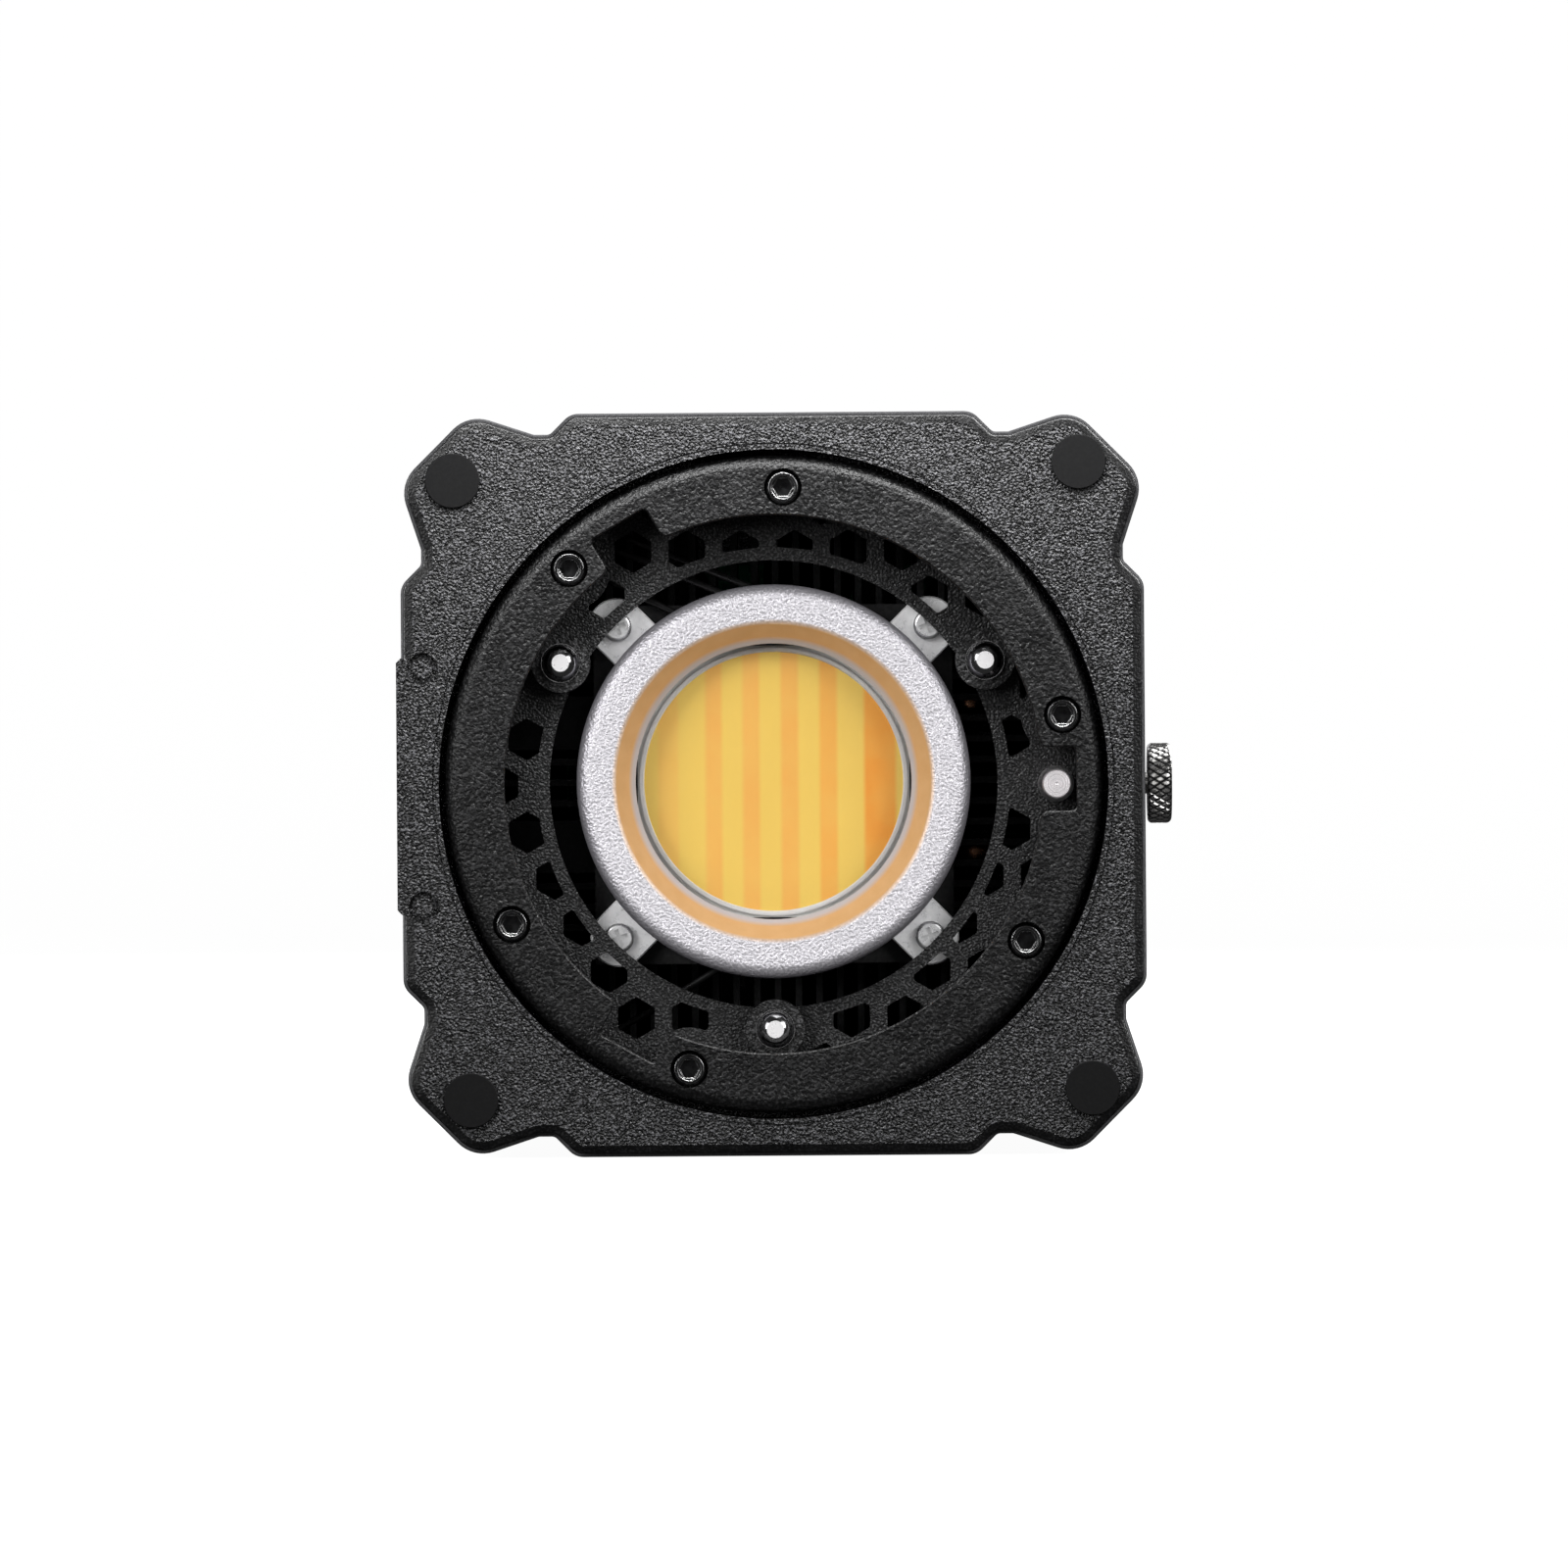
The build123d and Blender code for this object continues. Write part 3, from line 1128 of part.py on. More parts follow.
with BuildPart() as heat_pipes:
    # Straight copper pipes along the core, with domed front ends.
    with BuildSketch(facing_front(PIPE_REAR_Y)):
        with Locations(*PIPE_ENDS):
            Circle(HEAT_PIPE_R)
    extrude(amount=PIPE_REAR_Y - PIPE_FRONT_Y)
    fillet(heat_pipes.faces().group_by(Axis.Y)[0].edges(), HEAT_PIPE_R - 0.5)

heat_pipes.part.label = "heat_pipes"
export_step(heat_pipes.part, "parts/heat_pipes.step")

with BuildPart() as heat_sink:
    with BuildSketch(facing_front(FIN_REAR_Y)):
        Rectangle(2 * CORE_HALF, 2 * CORE_HALF)
    extrude(amount=FIN_REAR_Y - CORE_FRONT_Y)
    # Fins on all four sides, the lower ones short to clear the stand receiver.
    fin_steps = [(index - FIN_COUNT // 2) * FIN_PITCH + FIN_SHIFT for index in range(FIN_COUNT)]
    fin_length = FIN_REACH - CORE_HALF + 1
    fin_centre = FIN_REACH - fin_length / 2
    low_length = FIN_REACH_DOWN - CORE_HALF + 1
    low_centre = FIN_REACH_DOWN - low_length / 2
    with BuildSketch(facing_front(FIN_REAR_Y)):
        with Locations(*[(side * fin_centre, step) for step in fin_steps for side in (-1, 1)]):
            Rectangle(fin_length, FIN_THICKNESS)
        with Locations(*[(step, fin_centre) for step in fin_steps]):
            Rectangle(FIN_THICKNESS, fin_length)
        with Locations(*[(step, -low_centre) for step in fin_steps]):
            Rectangle(FIN_THICKNESS, low_length)
        # Two solid blocks on the left.
        with Locations((-fin_centre, PAD_BLOCK_Z), (-fin_centre, -PAD_BLOCK_Z)):
            Rectangle(fin_length, PAD_BLOCK_HEIGHT)
    extrude(amount=FIN_REAR_Y - FIN_FRONT_Y)
    # Pillars up to the shell, tapped for the screws in its top.
    with BuildSketch(Plane.XY.offset(AXIS_Z + CORE_HALF - 1)):
        with Locations(*SINK_SCREW_POINTS):
            Rectangle(PILLAR_SIDE, PILLAR_SIDE)
    extrude(amount=BODY_WIDTH - SHELL_WALL - AXIS_Z - CORE_HALF + 1)
    with BuildSketch(Plane.XY.offset(BODY_WIDTH - SHELL_WALL - PILLAR_THREAD)):
        with Locations(*SINK_SCREW_POINTS):
            Circle(COVER_SCREW_R)
    extrude(amount=PILLAR_THREAD, mode=Mode.SUBTRACT)
    # Tapped holes for the LED retainer and grooves for the heat pipes.
    with BuildSketch(facing_front(CORE_FRONT_Y + SINK_THREAD, 0, LED_Z)):
        with Locations(*TAB_POINTS):
            Circle(TAB_THREAD_R)
    extrude(amount=SINK_THREAD, mode=Mode.SUBTRACT)
    with BuildSketch(facing_front(PIPE_REAR_Y)):
        with Locations(*PIPE_ENDS):
            Circle(HEAT_PIPE_R)
    extrude(amount=PIPE_REAR_Y - PIPE_FRONT_Y, mode=Mode.SUBTRACT)

heat_sink.part.label = "heat_sink"
export_step(heat_sink.part, "parts/heat_sink.step")

top_seats = [Plane(origin=(x, y, BODY_WIDTH), z_dir=(0, 0, 1)) for x, y in SINK_SCREW_POINTS]
sink_screws = [countersunk_screw(seat, WALL_SCREW_HEAD_R, 1.6, 10.0) for seat in top_seats]

with BuildPart() as heat_sink_screws:
    add(sink_screws)

heat_sink_screws.part.label = "heat_sink_screws"
export_step(heat_sink_screws.part, "parts/heat_sink_screws.step")

with BuildPart() as led_leads:
    # Leads from the board's edge, up across the corner and back to their plug.
    for route in LEAD_ROUTES:
        points = [(x, y, AXIS_Z + z) for x, y, z in route]
        with BuildLine() as lead_path:
            FilletPolyline(*points, radius=LEAD_BEND_R)
        with BuildSketch(Plane(origin=lead_path.line @ 0, z_dir=lead_path.line % 0)):
            Circle(LEAD_R)
        sweep(path=lead_path.line)

led_leads.part.label = "led_leads"
export_step(led_leads.part, "parts/led_leads.step")

with BuildPart() as lead_plugs:
    with BuildSketch(facing_front(BULKHEAD_FRONT_Y)):
        with Locations(*LEAD_PLUG_POINTS):
            Rectangle(LEAD_PLUG_WIDTH, LEAD_PLUG_HEIGHT)
    extrude(amount=BULKHEAD_FRONT_Y - LEAD_PLUG_FRONT_Y)

lead_plugs.part.label = "lead_plugs"
export_step(lead_plugs.part, "parts/lead_plugs.step")

# ---------------------------------------------------------------- bulkhead and fan

with BuildPart() as bulkhead:
    with BuildSketch(facing_front(FAN_FRONT_Y)):
        add(BULKHEAD_OUTLINE)
        Circle(FAN_BORE_R - 1, mode=Mode.SUBTRACT)
        with Locations(*FAN_POINTS):
            Circle(FAN_SCREW_R, mode=Mode.SUBTRACT)
    extrude(amount=BULKHEAD_THICKNESS)

bulkhead.part.label = "bulkhead"
export_step(bulkhead.part, "parts/bulkhead.step")

with BuildPart() as fan_frame:
    # Two square flanges joined by a round duct, with a motor mount on four struts at the back.
    with BuildSketch(facing_front(FAN_BACK_Y)):
        Circle(FAN_BORE_R + FAN_DUCT_WALL)
        Circle(FAN_BORE_R, mode=Mode.SUBTRACT)
    extrude(amount=FAN_DEPTH)
    for flange_rear in (FAN_FRONT_Y + FAN_FLANGE, FAN_BACK_Y):
        with BuildSketch(facing_front(flange_rear)):
            RectangleRounded(FAN_SIDE, FAN_SIDE, 5.0)
            Circle(FAN_BORE_R, mode=Mode.SUBTRACT)
            with Locations(*FAN_POINTS):
                Circle(FAN_SCREW_R + 0.2, mode=Mode.SUBTRACT)
        extrude(amount=FAN_FLANGE)
    with BuildSketch(facing_front(FAN_BACK_Y)):
        Circle(FAN_HUB_R)
        with PolarLocations(FAN_BORE_R / 2, 4, 45):
            Rectangle(FAN_BORE_R + 1, FAN_STRUT_WIDTH)
    extrude(amount=FAN_FLANGE)
    # The bearing tube inside the rotor's hub.
    with BuildSketch(facing_front(FAN_BACK_Y)):
        Circle(FAN_TUBE_R)
    extrude(amount=FAN_DEPTH - FAN_TUBE_INSET)
    with BuildSketch(facing_front(FAN_BACK_Y)):
        Circle(FAN_SHAFT_R + 0.05)
    extrude(amount=FAN_DEPTH, mode=Mode.SUBTRACT)

fan_frame.part.label = "fan_frame"
export_step(fan_frame.part, "parts/fan_frame.step")

ROTOR_FRONT_Y = FAN_FRONT_Y + 1.5
ROTOR_BACK_Y = FAN_BACK_Y - FAN_FLANGE - 1.0
ROTOR_MIDDLE_Y = (ROTOR_FRONT_Y + ROTOR_BACK_Y) / 2

blade_roots = [
    Plane(
        origin=(0, ROTOR_MIDDLE_Y, AXIS_Z),
        x_dir=(0, 1, 0),
        z_dir=(cos(radians(turn)), 0, sin(radians(turn))),
    )
    for turn in [360.0 * index / FAN_BLADES for index in range(FAN_BLADES)]
]

with BuildPart() as fan_rotor:
    # A cup-shaped hub on its shaft, with twisted blades.
    with BuildSketch(facing_front(ROTOR_BACK_Y)):
        Circle(FAN_HUB_R)
    extrude(amount=ROTOR_BACK_Y - ROTOR_FRONT_Y)
    fillet(fan_rotor.faces().sort_by(Axis.Y)[0].edges(), 1.5)
    with BuildSketch(facing_front(ROTOR_BACK_Y)):
        Circle(FAN_HUB_R - FAN_HUB_WALL)
    extrude(amount=ROTOR_BACK_Y - ROTOR_FRONT_Y - 2, mode=Mode.SUBTRACT)
    with BuildSketch(facing_front(FAN_BACK_Y - 1)):
        Circle(FAN_SHAFT_R)
    extrude(amount=FAN_BACK_Y - 1 - ROTOR_FRONT_Y - 1)
    for root in blade_roots:
        with BuildSketch(root.offset(FAN_HUB_R - 1.0)):
            Rectangle(BLADE_ROOT_CHORD, FAN_BLADE_THICKNESS, rotation=BLADE_ROOT_PITCH)
        with BuildSketch(root.offset(FAN_BLADE_R - 0.9)):
            Rectangle(BLADE_TIP_CHORD, FAN_BLADE_THICKNESS, rotation=BLADE_TIP_PITCH)
        loft()

fan_rotor.part.label = "fan_rotor"
export_step(fan_rotor.part, "parts/fan_rotor.step")

with BuildPart() as fan_screws:
    with BuildSketch(facing_front(BULKHEAD_FRONT_Y)):
        with Locations(*FAN_POINTS):
            Circle(FAN_SCREW_HEAD_R)
    extrude(amount=FAN_SCREW_HEAD_HEIGHT)
    with BuildSketch(facing_front(FAN_FRONT_Y + FAN_SCREW_DEPTH)):
        with Locations(*FAN_POINTS):
            Circle(FAN_SCREW_R)
    extrude(amount=FAN_SCREW_DEPTH + BULKHEAD_THICKNESS)
    with BuildSketch(facing_front(BULKHEAD_FRONT_Y - FAN_SCREW_HEAD_HEIGHT + 1)):
        with Locations(*FAN_POINTS):
            Rectangle(CROSS_LENGTH, CROSS_WIDTH)
            Rectangle(CROSS_WIDTH, CROSS_LENGTH)
    extrude(amount=1.0, mode=Mode.SUBTRACT)

fan_screws.part.label = "fan_screws"
export_step(fan_screws.part, "parts/fan_screws.step")

# ---------------------------------------------------------------- stand receiver

with BuildPart() as stand_plate:
    with BuildSketch(Plane.XY.offset(SHELL_WALL)):
        RectangleRounded(STAND_PLATE_SIDE, STAND_PLATE_SIDE, 3.0)
        Circle(STAND_BUSH_R, mode=Mode.SUBTRACT)
        with Locations(*STAND_SCREW_POINTS):
            Circle(COVER_SCREW_R, mode=Mode.SUBTRACT)
    extrude(amount=STAND_PLATE_THICKNESS)

stand_plate.part.label = "stand_plate"
export_step(stand_plate.part, "parts/stand_plate.step")

with BuildPart() as stand_bush:
    with BuildSketch(Plane.XY):
        Circle(STAND_BUSH_R)
    extrude(amount=STAND_BUSH_LENGTH)
    with BuildSketch(Plane.XY):
        Circle(STAND_HOLE_R)
    extrude(amount=STAND_BUSH_LENGTH - 1, mode=Mode.SUBTRACT)
    chamfer(stand_bush.faces().sort_by(Axis.Z)[-1].edges(), 0.5)

stand_bush.part.label = "stand_bush"
export_step(stand_bush.part, "parts/stand_bush.step")

base_seats = [Plane(origin=(x, y, 0), z_dir=(0, 0, -1)) for x, y in STAND_SCREW_POINTS]
base_screws = [countersunk_screw(seat, WALL_SCREW_HEAD_R, 1.6, 8.0) for seat in base_seats]

with BuildPart() as stand_plate_screws:
    add(base_screws)

stand_plate_screws.part.label = "stand_plate_screws"
export_step(stand_plate_screws.part, "parts/stand_plate_screws.step")

# ---------------------------------------------------------------- electronics

SUPPLY_FACE = facing_left(-BOARD_X + BOARD_PCB, BOARD_MID_Y)
DRIVER_FACE_X = BOARD_X - BOARD_PCB

with BuildPart() as power_board:
    # The supply board stands on the left, with its transformer, capacitors and a choke.
    with BuildSketch(facing_left(-BOARD_X, BOARD_MID_Y)):
        Rectangle(BOARD_LENGTH, BOARD_HEIGHT)
        with GridLocations(2 * BOARD_HOLE_Y, 2 * BOARD_HOLE_Z, 2, 2):
            Circle(COVER_SCREW_R, mode=Mode.SUBTRACT)
    extrude(amount=BOARD_PCB)
    with BuildSketch(SUPPLY_FACE):
        with Locations((-1, 4)):
            RectangleRounded(TRANSFORMER_SIDE, TRANSFORMER_SIDE, 1.0)
    extrude(amount=TRANSFORMER_HEIGHT)
    with BuildSketch(SUPPLY_FACE):
        with Locations((-7, -18), (7, -18)):
            Circle(CAPACITOR_R)
        with Locations((-2, 25)):
            Circle(CHOKE_R)
    extrude(amount=CAPACITOR_HEIGHT)
    with BuildSketch(SUPPLY_FACE):
        with Locations((8, 24)):
            Rectangle(SOCKET_WIDTH, SOCKET_LENGTH)
    extrude(amount=SOCKET_HEIGHT)

power_board.part.label = "power_board"
export_step(power_board.part, "parts/power_board.step")

with BuildPart() as driver_board:
    # The driver board stands on the right, with its coils and its transistors' cooler.
    with BuildSketch(facing_left(DRIVER_FACE_X, BOARD_MID_Y)):
        Rectangle(BOARD_LENGTH, BOARD_HEIGHT)
        with GridLocations(2 * BOARD_HOLE_Y, 2 * BOARD_HOLE_Z, 2, 2):
            Circle(COVER_SCREW_R, mode=Mode.SUBTRACT)
    extrude(amount=BOARD_PCB)
    with BuildSketch(facing_left(DRIVER_FACE_X - COIL_SIDE, BOARD_MID_Y)):
        with GridLocations(0, COIL_PITCH, 1, 3):
            RectangleRounded(COIL_SIDE, COIL_SIDE, 1.5)
    extrude(amount=COIL_SIDE)
    with BuildSketch(facing_left(DRIVER_FACE_X - COOLER_HEIGHT, BOARD_MID_Y)):
        with Locations((COOLER_Y, 0)):
            Rectangle(COOLER_WIDTH, COOLER_LENGTH)
    extrude(amount=COOLER_HEIGHT)

driver_board.part.label = "driver_board"
export_step(driver_board.part, "parts/driver_board.step")

with BuildPart() as board_standoffs:
    # Standoffs between both boards and the shell's side walls.
    for start_x in (BOARD_X, -HALF + SHELL_WALL):
        with BuildSketch(facing_left(start_x, BOARD_MID_Y)):
            with GridLocations(2 * BOARD_HOLE_Y, 2 * BOARD_HOLE_Z, 2, 2):
                RegularPolygon(STANDOFF_R, 6, major_radius=False)
        extrude(amount=HALF - SHELL_WALL - BOARD_X)

board_standoffs.part.label = "board_standoffs"
export_step(board_standoffs.part, "parts/board_standoffs.step")

board_seats = [
    Plane(origin=(side * DRIVER_FACE_X, y, AXIS_Z + z), z_dir=(-side, 0, 0))
    for side in (-1, 1)
    for y, z in BOARD_SCREW_POINTS
]

with BuildPart() as board_screws:
    with Locations(*board_seats):
        with Locations((0, 0, BOARD_SCREW_HEAD_HEIGHT / 2)):
            Cylinder(BOARD_SCREW_HEAD_R, BOARD_SCREW_HEAD_HEIGHT)
        with Locations((0, 0, -BOARD_PCB / 2)):
            Cylinder(COVER_SCREW_R, BOARD_PCB)
        with Locations((0, 0, BOARD_SCREW_HEAD_HEIGHT - 0.4)):
            Box(SLOT_LENGTH, SLOT_WIDTH, 1.0, mode=Mode.SUBTRACT)

board_screws.part.label = "board_screws"
export_step(board_screws.part, "parts/board_screws.step")

with BuildPart() as control_board:
    # The board behind the rear panel, which carries the display, encoders and key switches.
    with BuildSketch(facing_front(CONTROL_BOARD_Y)):
        with Locations((0, CONTROL_BOARD_RISE)):
            Rectangle(CONTROL_BOARD_WIDTH, CONTROL_BOARD_HEIGHT)
    extrude(amount=BOARD_PCB)
    with BuildSketch(facing_front(CONTROL_BOARD_Y + KEY_SWITCH_HEIGHT)):
        with Locations(*BUTTON_POINTS):
            Rectangle(KEY_SWITCH_SIDE, KEY_SWITCH_SIDE)
    extrude(amount=KEY_SWITCH_HEIGHT)
    with BuildSketch(facing_front(CONTROL_BOARD_Y + ENCODER_HEIGHT)):
        with Locations(*DIAL_POINTS):
            Rectangle(ENCODER_WIDTH, ENCODER_LENGTH)
            Circle(DIAL_SHAFT_R + 0.05, mode=Mode.SUBTRACT)
    extrude(amount=ENCODER_HEIGHT)

control_board.part.label = "control_board"
export_step(control_board.part, "parts/control_board.step")

# ---------------------------------------------------------------- rear cover and panel

BAFFLE_FRONT_Y = SHELL_REAR_Y - BAFFLE_GAP - BAFFLE_THICKNESS
BAFFLE_SPAN = (REAR_SLOT_COUNT - 1) * REAR_SLOT_PITCH + BAFFLE_HEIGHT
SLOT_COLUMNS = [(side * REAR_SLOT_X, 0) for side in (-1, 1)]

with BuildPart() as rear_cover:
    with BuildSketch(facing_front(REAR_Y)):
        add(COVER_OUTLINE)
        # Exhaust slots on both sides of the panel.
        with Locations(*SLOT_COLUMNS):
            with GridLocations(0, REAR_SLOT_PITCH, 1, REAR_SLOT_COUNT):
                SlotOverall(REAR_SLOT_LENGTH, REAR_SLOT_WIDTH, mode=Mode.SUBTRACT)
    extrude(amount=COVER_THICKNESS)
    fillet(rear_cover.faces().sort_by(Axis.Y)[-1].outer_wire().edges(), 0.8)
    with BuildSketch(facing_front(SHELL_REAR_Y)):
        with PolarLocations(RIB_AT, 4):
            Rectangle(RIB_WALL, RIB_LENGTH)
    extrude(amount=SPIGOT_DEPTH)
    # A bar behind each slot stops fingers and stray light, and uprights hold the bars.
    with BuildSketch(facing_front(BAFFLE_FRONT_Y + BAFFLE_THICKNESS)):
        with Locations(*SLOT_COLUMNS):
            with GridLocations(0, REAR_SLOT_PITCH, 1, REAR_SLOT_COUNT):
                Rectangle(REAR_SLOT_LENGTH + 2 * BAFFLE_UPRIGHT, BAFFLE_HEIGHT)
    extrude(amount=BAFFLE_THICKNESS)
    with BuildSketch(facing_front(SHELL_REAR_Y)):
        with Locations(*SLOT_COLUMNS):
            with GridLocations(REAR_SLOT_LENGTH + BAFFLE_UPRIGHT, 0, 2, 1):
                Rectangle(BAFFLE_UPRIGHT, BAFFLE_SPAN)
    extrude(amount=SHELL_REAR_Y - BAFFLE_FRONT_Y)
    # The recess that takes the panel, and one opening through it.
    with BuildSketch(facing_front(REAR_Y)):
        RectangleRounded(
            PANEL_WIDTH + 2 * PANEL_GAP,
            PANEL_HEIGHT + 2 * PANEL_GAP,
            PANEL_CORNER_R + PANEL_GAP,
        )
    extrude(amount=PANEL_RECESS + PANEL_SKIN, mode=Mode.SUBTRACT)
    with BuildSketch(facing_front(REAR_Y)):
        RectangleRounded(PANEL_WIDTH - 2 * PANEL_FRAME, PANEL_HEIGHT - 2 * PANEL_FRAME, 3.0)
    extrude(amount=COVER_THICKNESS, mode=Mode.SUBTRACT)
    with Locations(*[facing_rear(x, z) for x, z in CORNER_POINTS]):
        CounterSinkHole(COVER_SCREW_R + 0.2, COVER_SCREW_HEAD_R + 0.1, depth=COVER_THICKNESS + 4)

rear_cover.part.label = "rear_cover"
export_step(rear_cover.part, "parts/rear_cover.step")

with BuildPart() as rear_cover_screws:
    with Locations(*[facing_rear(x, z) for x, z in CORNER_POINTS]):
        with Locations((0, 0, -COVER_SCREW_HEAD_HEIGHT / 2)):
            Cone(COVER_SCREW_R, COVER_SCREW_HEAD_R, COVER_SCREW_HEAD_HEIGHT)
        with Locations((0, 0, -COVER_SCREW_LENGTH / 2)):
            Cylinder(COVER_SCREW_R, COVER_SCREW_LENGTH)
        with Locations((0, 0, -0.5)):
            Box(SLOT_LENGTH, SLOT_WIDTH, 1.2, mode=Mode.SUBTRACT)
            Box(SLOT_WIDTH, SLOT_LENGTH, 1.2, mode=Mode.SUBTRACT)

rear_cover_screws.part.label = "rear_cover_screws"
export_step(rear_cover_screws.part, "parts/rear_cover_screws.step")

with BuildSketch(mode=Mode.PRIVATE) as panel_openings:
    with Locations(*BUTTON_POINTS):
        SlotOverall(BUTTON_LENGTH + 2 * BUTTON_GAP, BUTTON_HEIGHT + 2 * BUTTON_GAP)
    with Locations(*DIAL_POINTS):
        Circle(DIAL_HOLE_R)
    with Locations((INLET_X, POWER_Z)):
        Rectangle(INLET_WIDTH, INLET_HEIGHT)
    with Locations((SWITCH_X, POWER_Z)):
        Rectangle(SWITCH_WIDTH, SWITCH_HEIGHT)

OPENINGS = panel_openings.sketch
PANEL_SEAT_INSET = PANEL_FRAME + PANEL_GAP

with BuildPart() as rear_panel:
    with BuildSketch(facing_front(PANEL_BACK_Y)):
        RectangleRounded(PANEL_WIDTH, PANEL_HEIGHT, PANEL_CORNER_R)
        add(OPENINGS, mode=Mode.SUBTRACT)
        with Locations((0, DISPLAY_Z)):
            Rectangle(DISPLAY_WIDTH, DISPLAY_HEIGHT, mode=Mode.SUBTRACT)
    extrude(amount=PANEL_SKIN)
    with BuildSketch(facing_front(PANEL_BACK_Y - PANEL_SKIN)):
        RectangleRounded(PANEL_WIDTH - 2 * PANEL_SEAT_INSET, PANEL_HEIGHT - 2 * PANEL_SEAT_INSET, 2.8)
        add(OPENINGS, mode=Mode.SUBTRACT)
        with Locations((0, DISPLAY_Z)):
            Rectangle(DISPLAY_WIDTH - 3, DISPLAY_HEIGHT - 3, mode=Mode.SUBTRACT)
    extrude(amount=PANEL_THICKNESS - PANEL_SKIN)

rear_panel.part.label = "rear_panel"
export_step(rear_panel.part, "parts/rear_panel.step")

with BuildPart() as display_window:
    with BuildSketch(facing_front(PANEL_BACK_Y)):
        with Locations((0, DISPLAY_Z)):
            Rectangle(DISPLAY_WIDTH, DISPLAY_HEIGHT)
    extrude(amount=PANEL_SKIN)

display_window.part.label = "display_window"
export_step(display_window.part, "parts/display_window.step")

with BuildPart() as display_module:
    with BuildSketch(facing_front(PANEL_FRONT_Y)):
        with Locations((0, DISPLAY_Z)):
            Rectangle(DISPLAY_WIDTH, DISPLAY_HEIGHT)
    extrude(amount=PANEL_FRONT_Y - CONTROL_BOARD_Y)

display_module.part.label = "display_module"
export_step(display_module.part, "parts/display_module.step")

DIAL_FRONT_Y = PANEL_BACK_Y + DIAL_LIFT
SHAFT_FRONT_Y = CONTROL_BOARD_Y + 1.0

for name, x in zip(("brightness", "colour"), KNOB_XS):
    # A dial with a fluted rim, on its encoder's shaft.
    with BuildPart() as dial:
        with BuildSketch(facing_front(DIAL_FRONT_Y, x, AXIS_Z + KNOB_Z)):
            Circle(DIAL_R)
        extrude(amount=-DIAL_HEIGHT)
        fillet(dial.faces().sort_by(Axis.Y)[-1].edges(), 1.0)
        with BuildSketch(facing_front(DIAL_FRONT_Y, x, AXIS_Z + KNOB_Z)):
            with PolarLocations(DIAL_R + 0.25, DIAL_FLUTES):
                Circle(DIAL_FLUTE_R)
        extrude(amount=-DIAL_HEIGHT, mode=Mode.SUBTRACT)
        with BuildSketch(facing_front(SHAFT_FRONT_Y, x, AXIS_Z + KNOB_Z)):
            Circle(DIAL_SHAFT_R)
        extrude(amount=-(DIAL_FRONT_Y + 1.0 - SHAFT_FRONT_Y))
    dial.part.label = f"{name}_dial"
    export_step(dial.part, f"parts/{name}_dial.step")

FLANGE_REAR_Y = PANEL_FRONT_Y - 0.1
STEM_REAR_Y = FLANGE_REAR_Y - BUTTON_FLANGE_THICKNESS
KEY_TOP_Y = CONTROL_BOARD_Y + KEY_SWITCH_HEIGHT + BUTTON_TRAVEL + 0.1

for name, x in zip(("menu", "mode", "fan"), BUTTON_XS):
    # A key cap held behind the panel by its flange, resting on a key switch.
    with BuildPart() as button:
        with BuildSketch(facing_front(FLANGE_REAR_Y, x, AXIS_Z + BUTTON_Z)):
            SlotOverall(BUTTON_LENGTH, BUTTON_HEIGHT)
        extrude(amount=-(PANEL_THICKNESS + BUTTON_PROUD))
        fillet(button.faces().sort_by(Axis.Y)[-1].edges(), 0.5)
        with BuildSketch(facing_front(FLANGE_REAR_Y, x, AXIS_Z + BUTTON_Z)):
            SlotOverall(BUTTON_LENGTH + 2 * BUTTON_FLANGE, BUTTON_HEIGHT + 2 * BUTTON_FLANGE)
        extrude(amount=BUTTON_FLANGE_THICKNESS)
        with BuildSketch(facing_front(STEM_REAR_Y, x, AXIS_Z + BUTTON_Z)):
            Circle(BUTTON_STEM_R)
        extrude(amount=STEM_REAR_Y - KEY_TOP_Y)
    button.part.label = f"{name}_button"
    export_step(button.part, f"parts/{name}_button.step")

SWITCH_Z = AXIS_Z + POWER_Z

with BuildPart() as switch_frame:
    with BuildSketch(facing_front(PANEL_BACK_Y, SWITCH_X, SWITCH_Z)):
        RectangleRounded(SWITCH_WIDTH + 2 * SWITCH_BEZEL, SWITCH_HEIGHT + 2 * SWITCH_BEZEL, 1.0)
    extrude(amount=-SWITCH_BEZEL)
    with BuildSketch(facing_front(PANEL_BACK_Y, SWITCH_X, SWITCH_Z)):
        Rectangle(SWITCH_WIDTH, SWITCH_HEIGHT)
    extrude(amount=SWITCH_DEPTH)
    with BuildSketch(facing_front(PANEL_BACK_Y + SWITCH_BEZEL, SWITCH_X, SWITCH_Z)):
        Rectangle(SWITCH_WIDTH - 2 * SWITCH_BEZEL, SWITCH_HEIGHT - 2 * SWITCH_BEZEL)
    extrude(amount=SWITCH_BEZEL + SWITCH_DEPTH - SWITCH_BACK, mode=Mode.SUBTRACT)

switch_frame.part.label = "switch_frame"
export_step(switch_frame.part, "parts/switch_frame.step")

with BuildPart() as switch_rocker:
    # A shallow V-shaped rocker that tips about a pin across the frame.
    with BuildSketch(facing_left(SWITCH_X - ROCKER_WIDTH / 2, ROCKER_PIVOT_Y, SWITCH_Z)):
        with BuildLine():
            Polyline(*ROCKER_PROFILE, close=True)
        make_face()
    extrude(amount=ROCKER_WIDTH)

switch_rocker.part.label = "switch_rocker"
export_step(switch_rocker.part, "parts/switch_rocker.step")

INLET_Z = AXIS_Z + POWER_Z
CAVITY_DEPTH = INLET_FLANGE_THICKNESS + INLET_DEPTH - 2.0

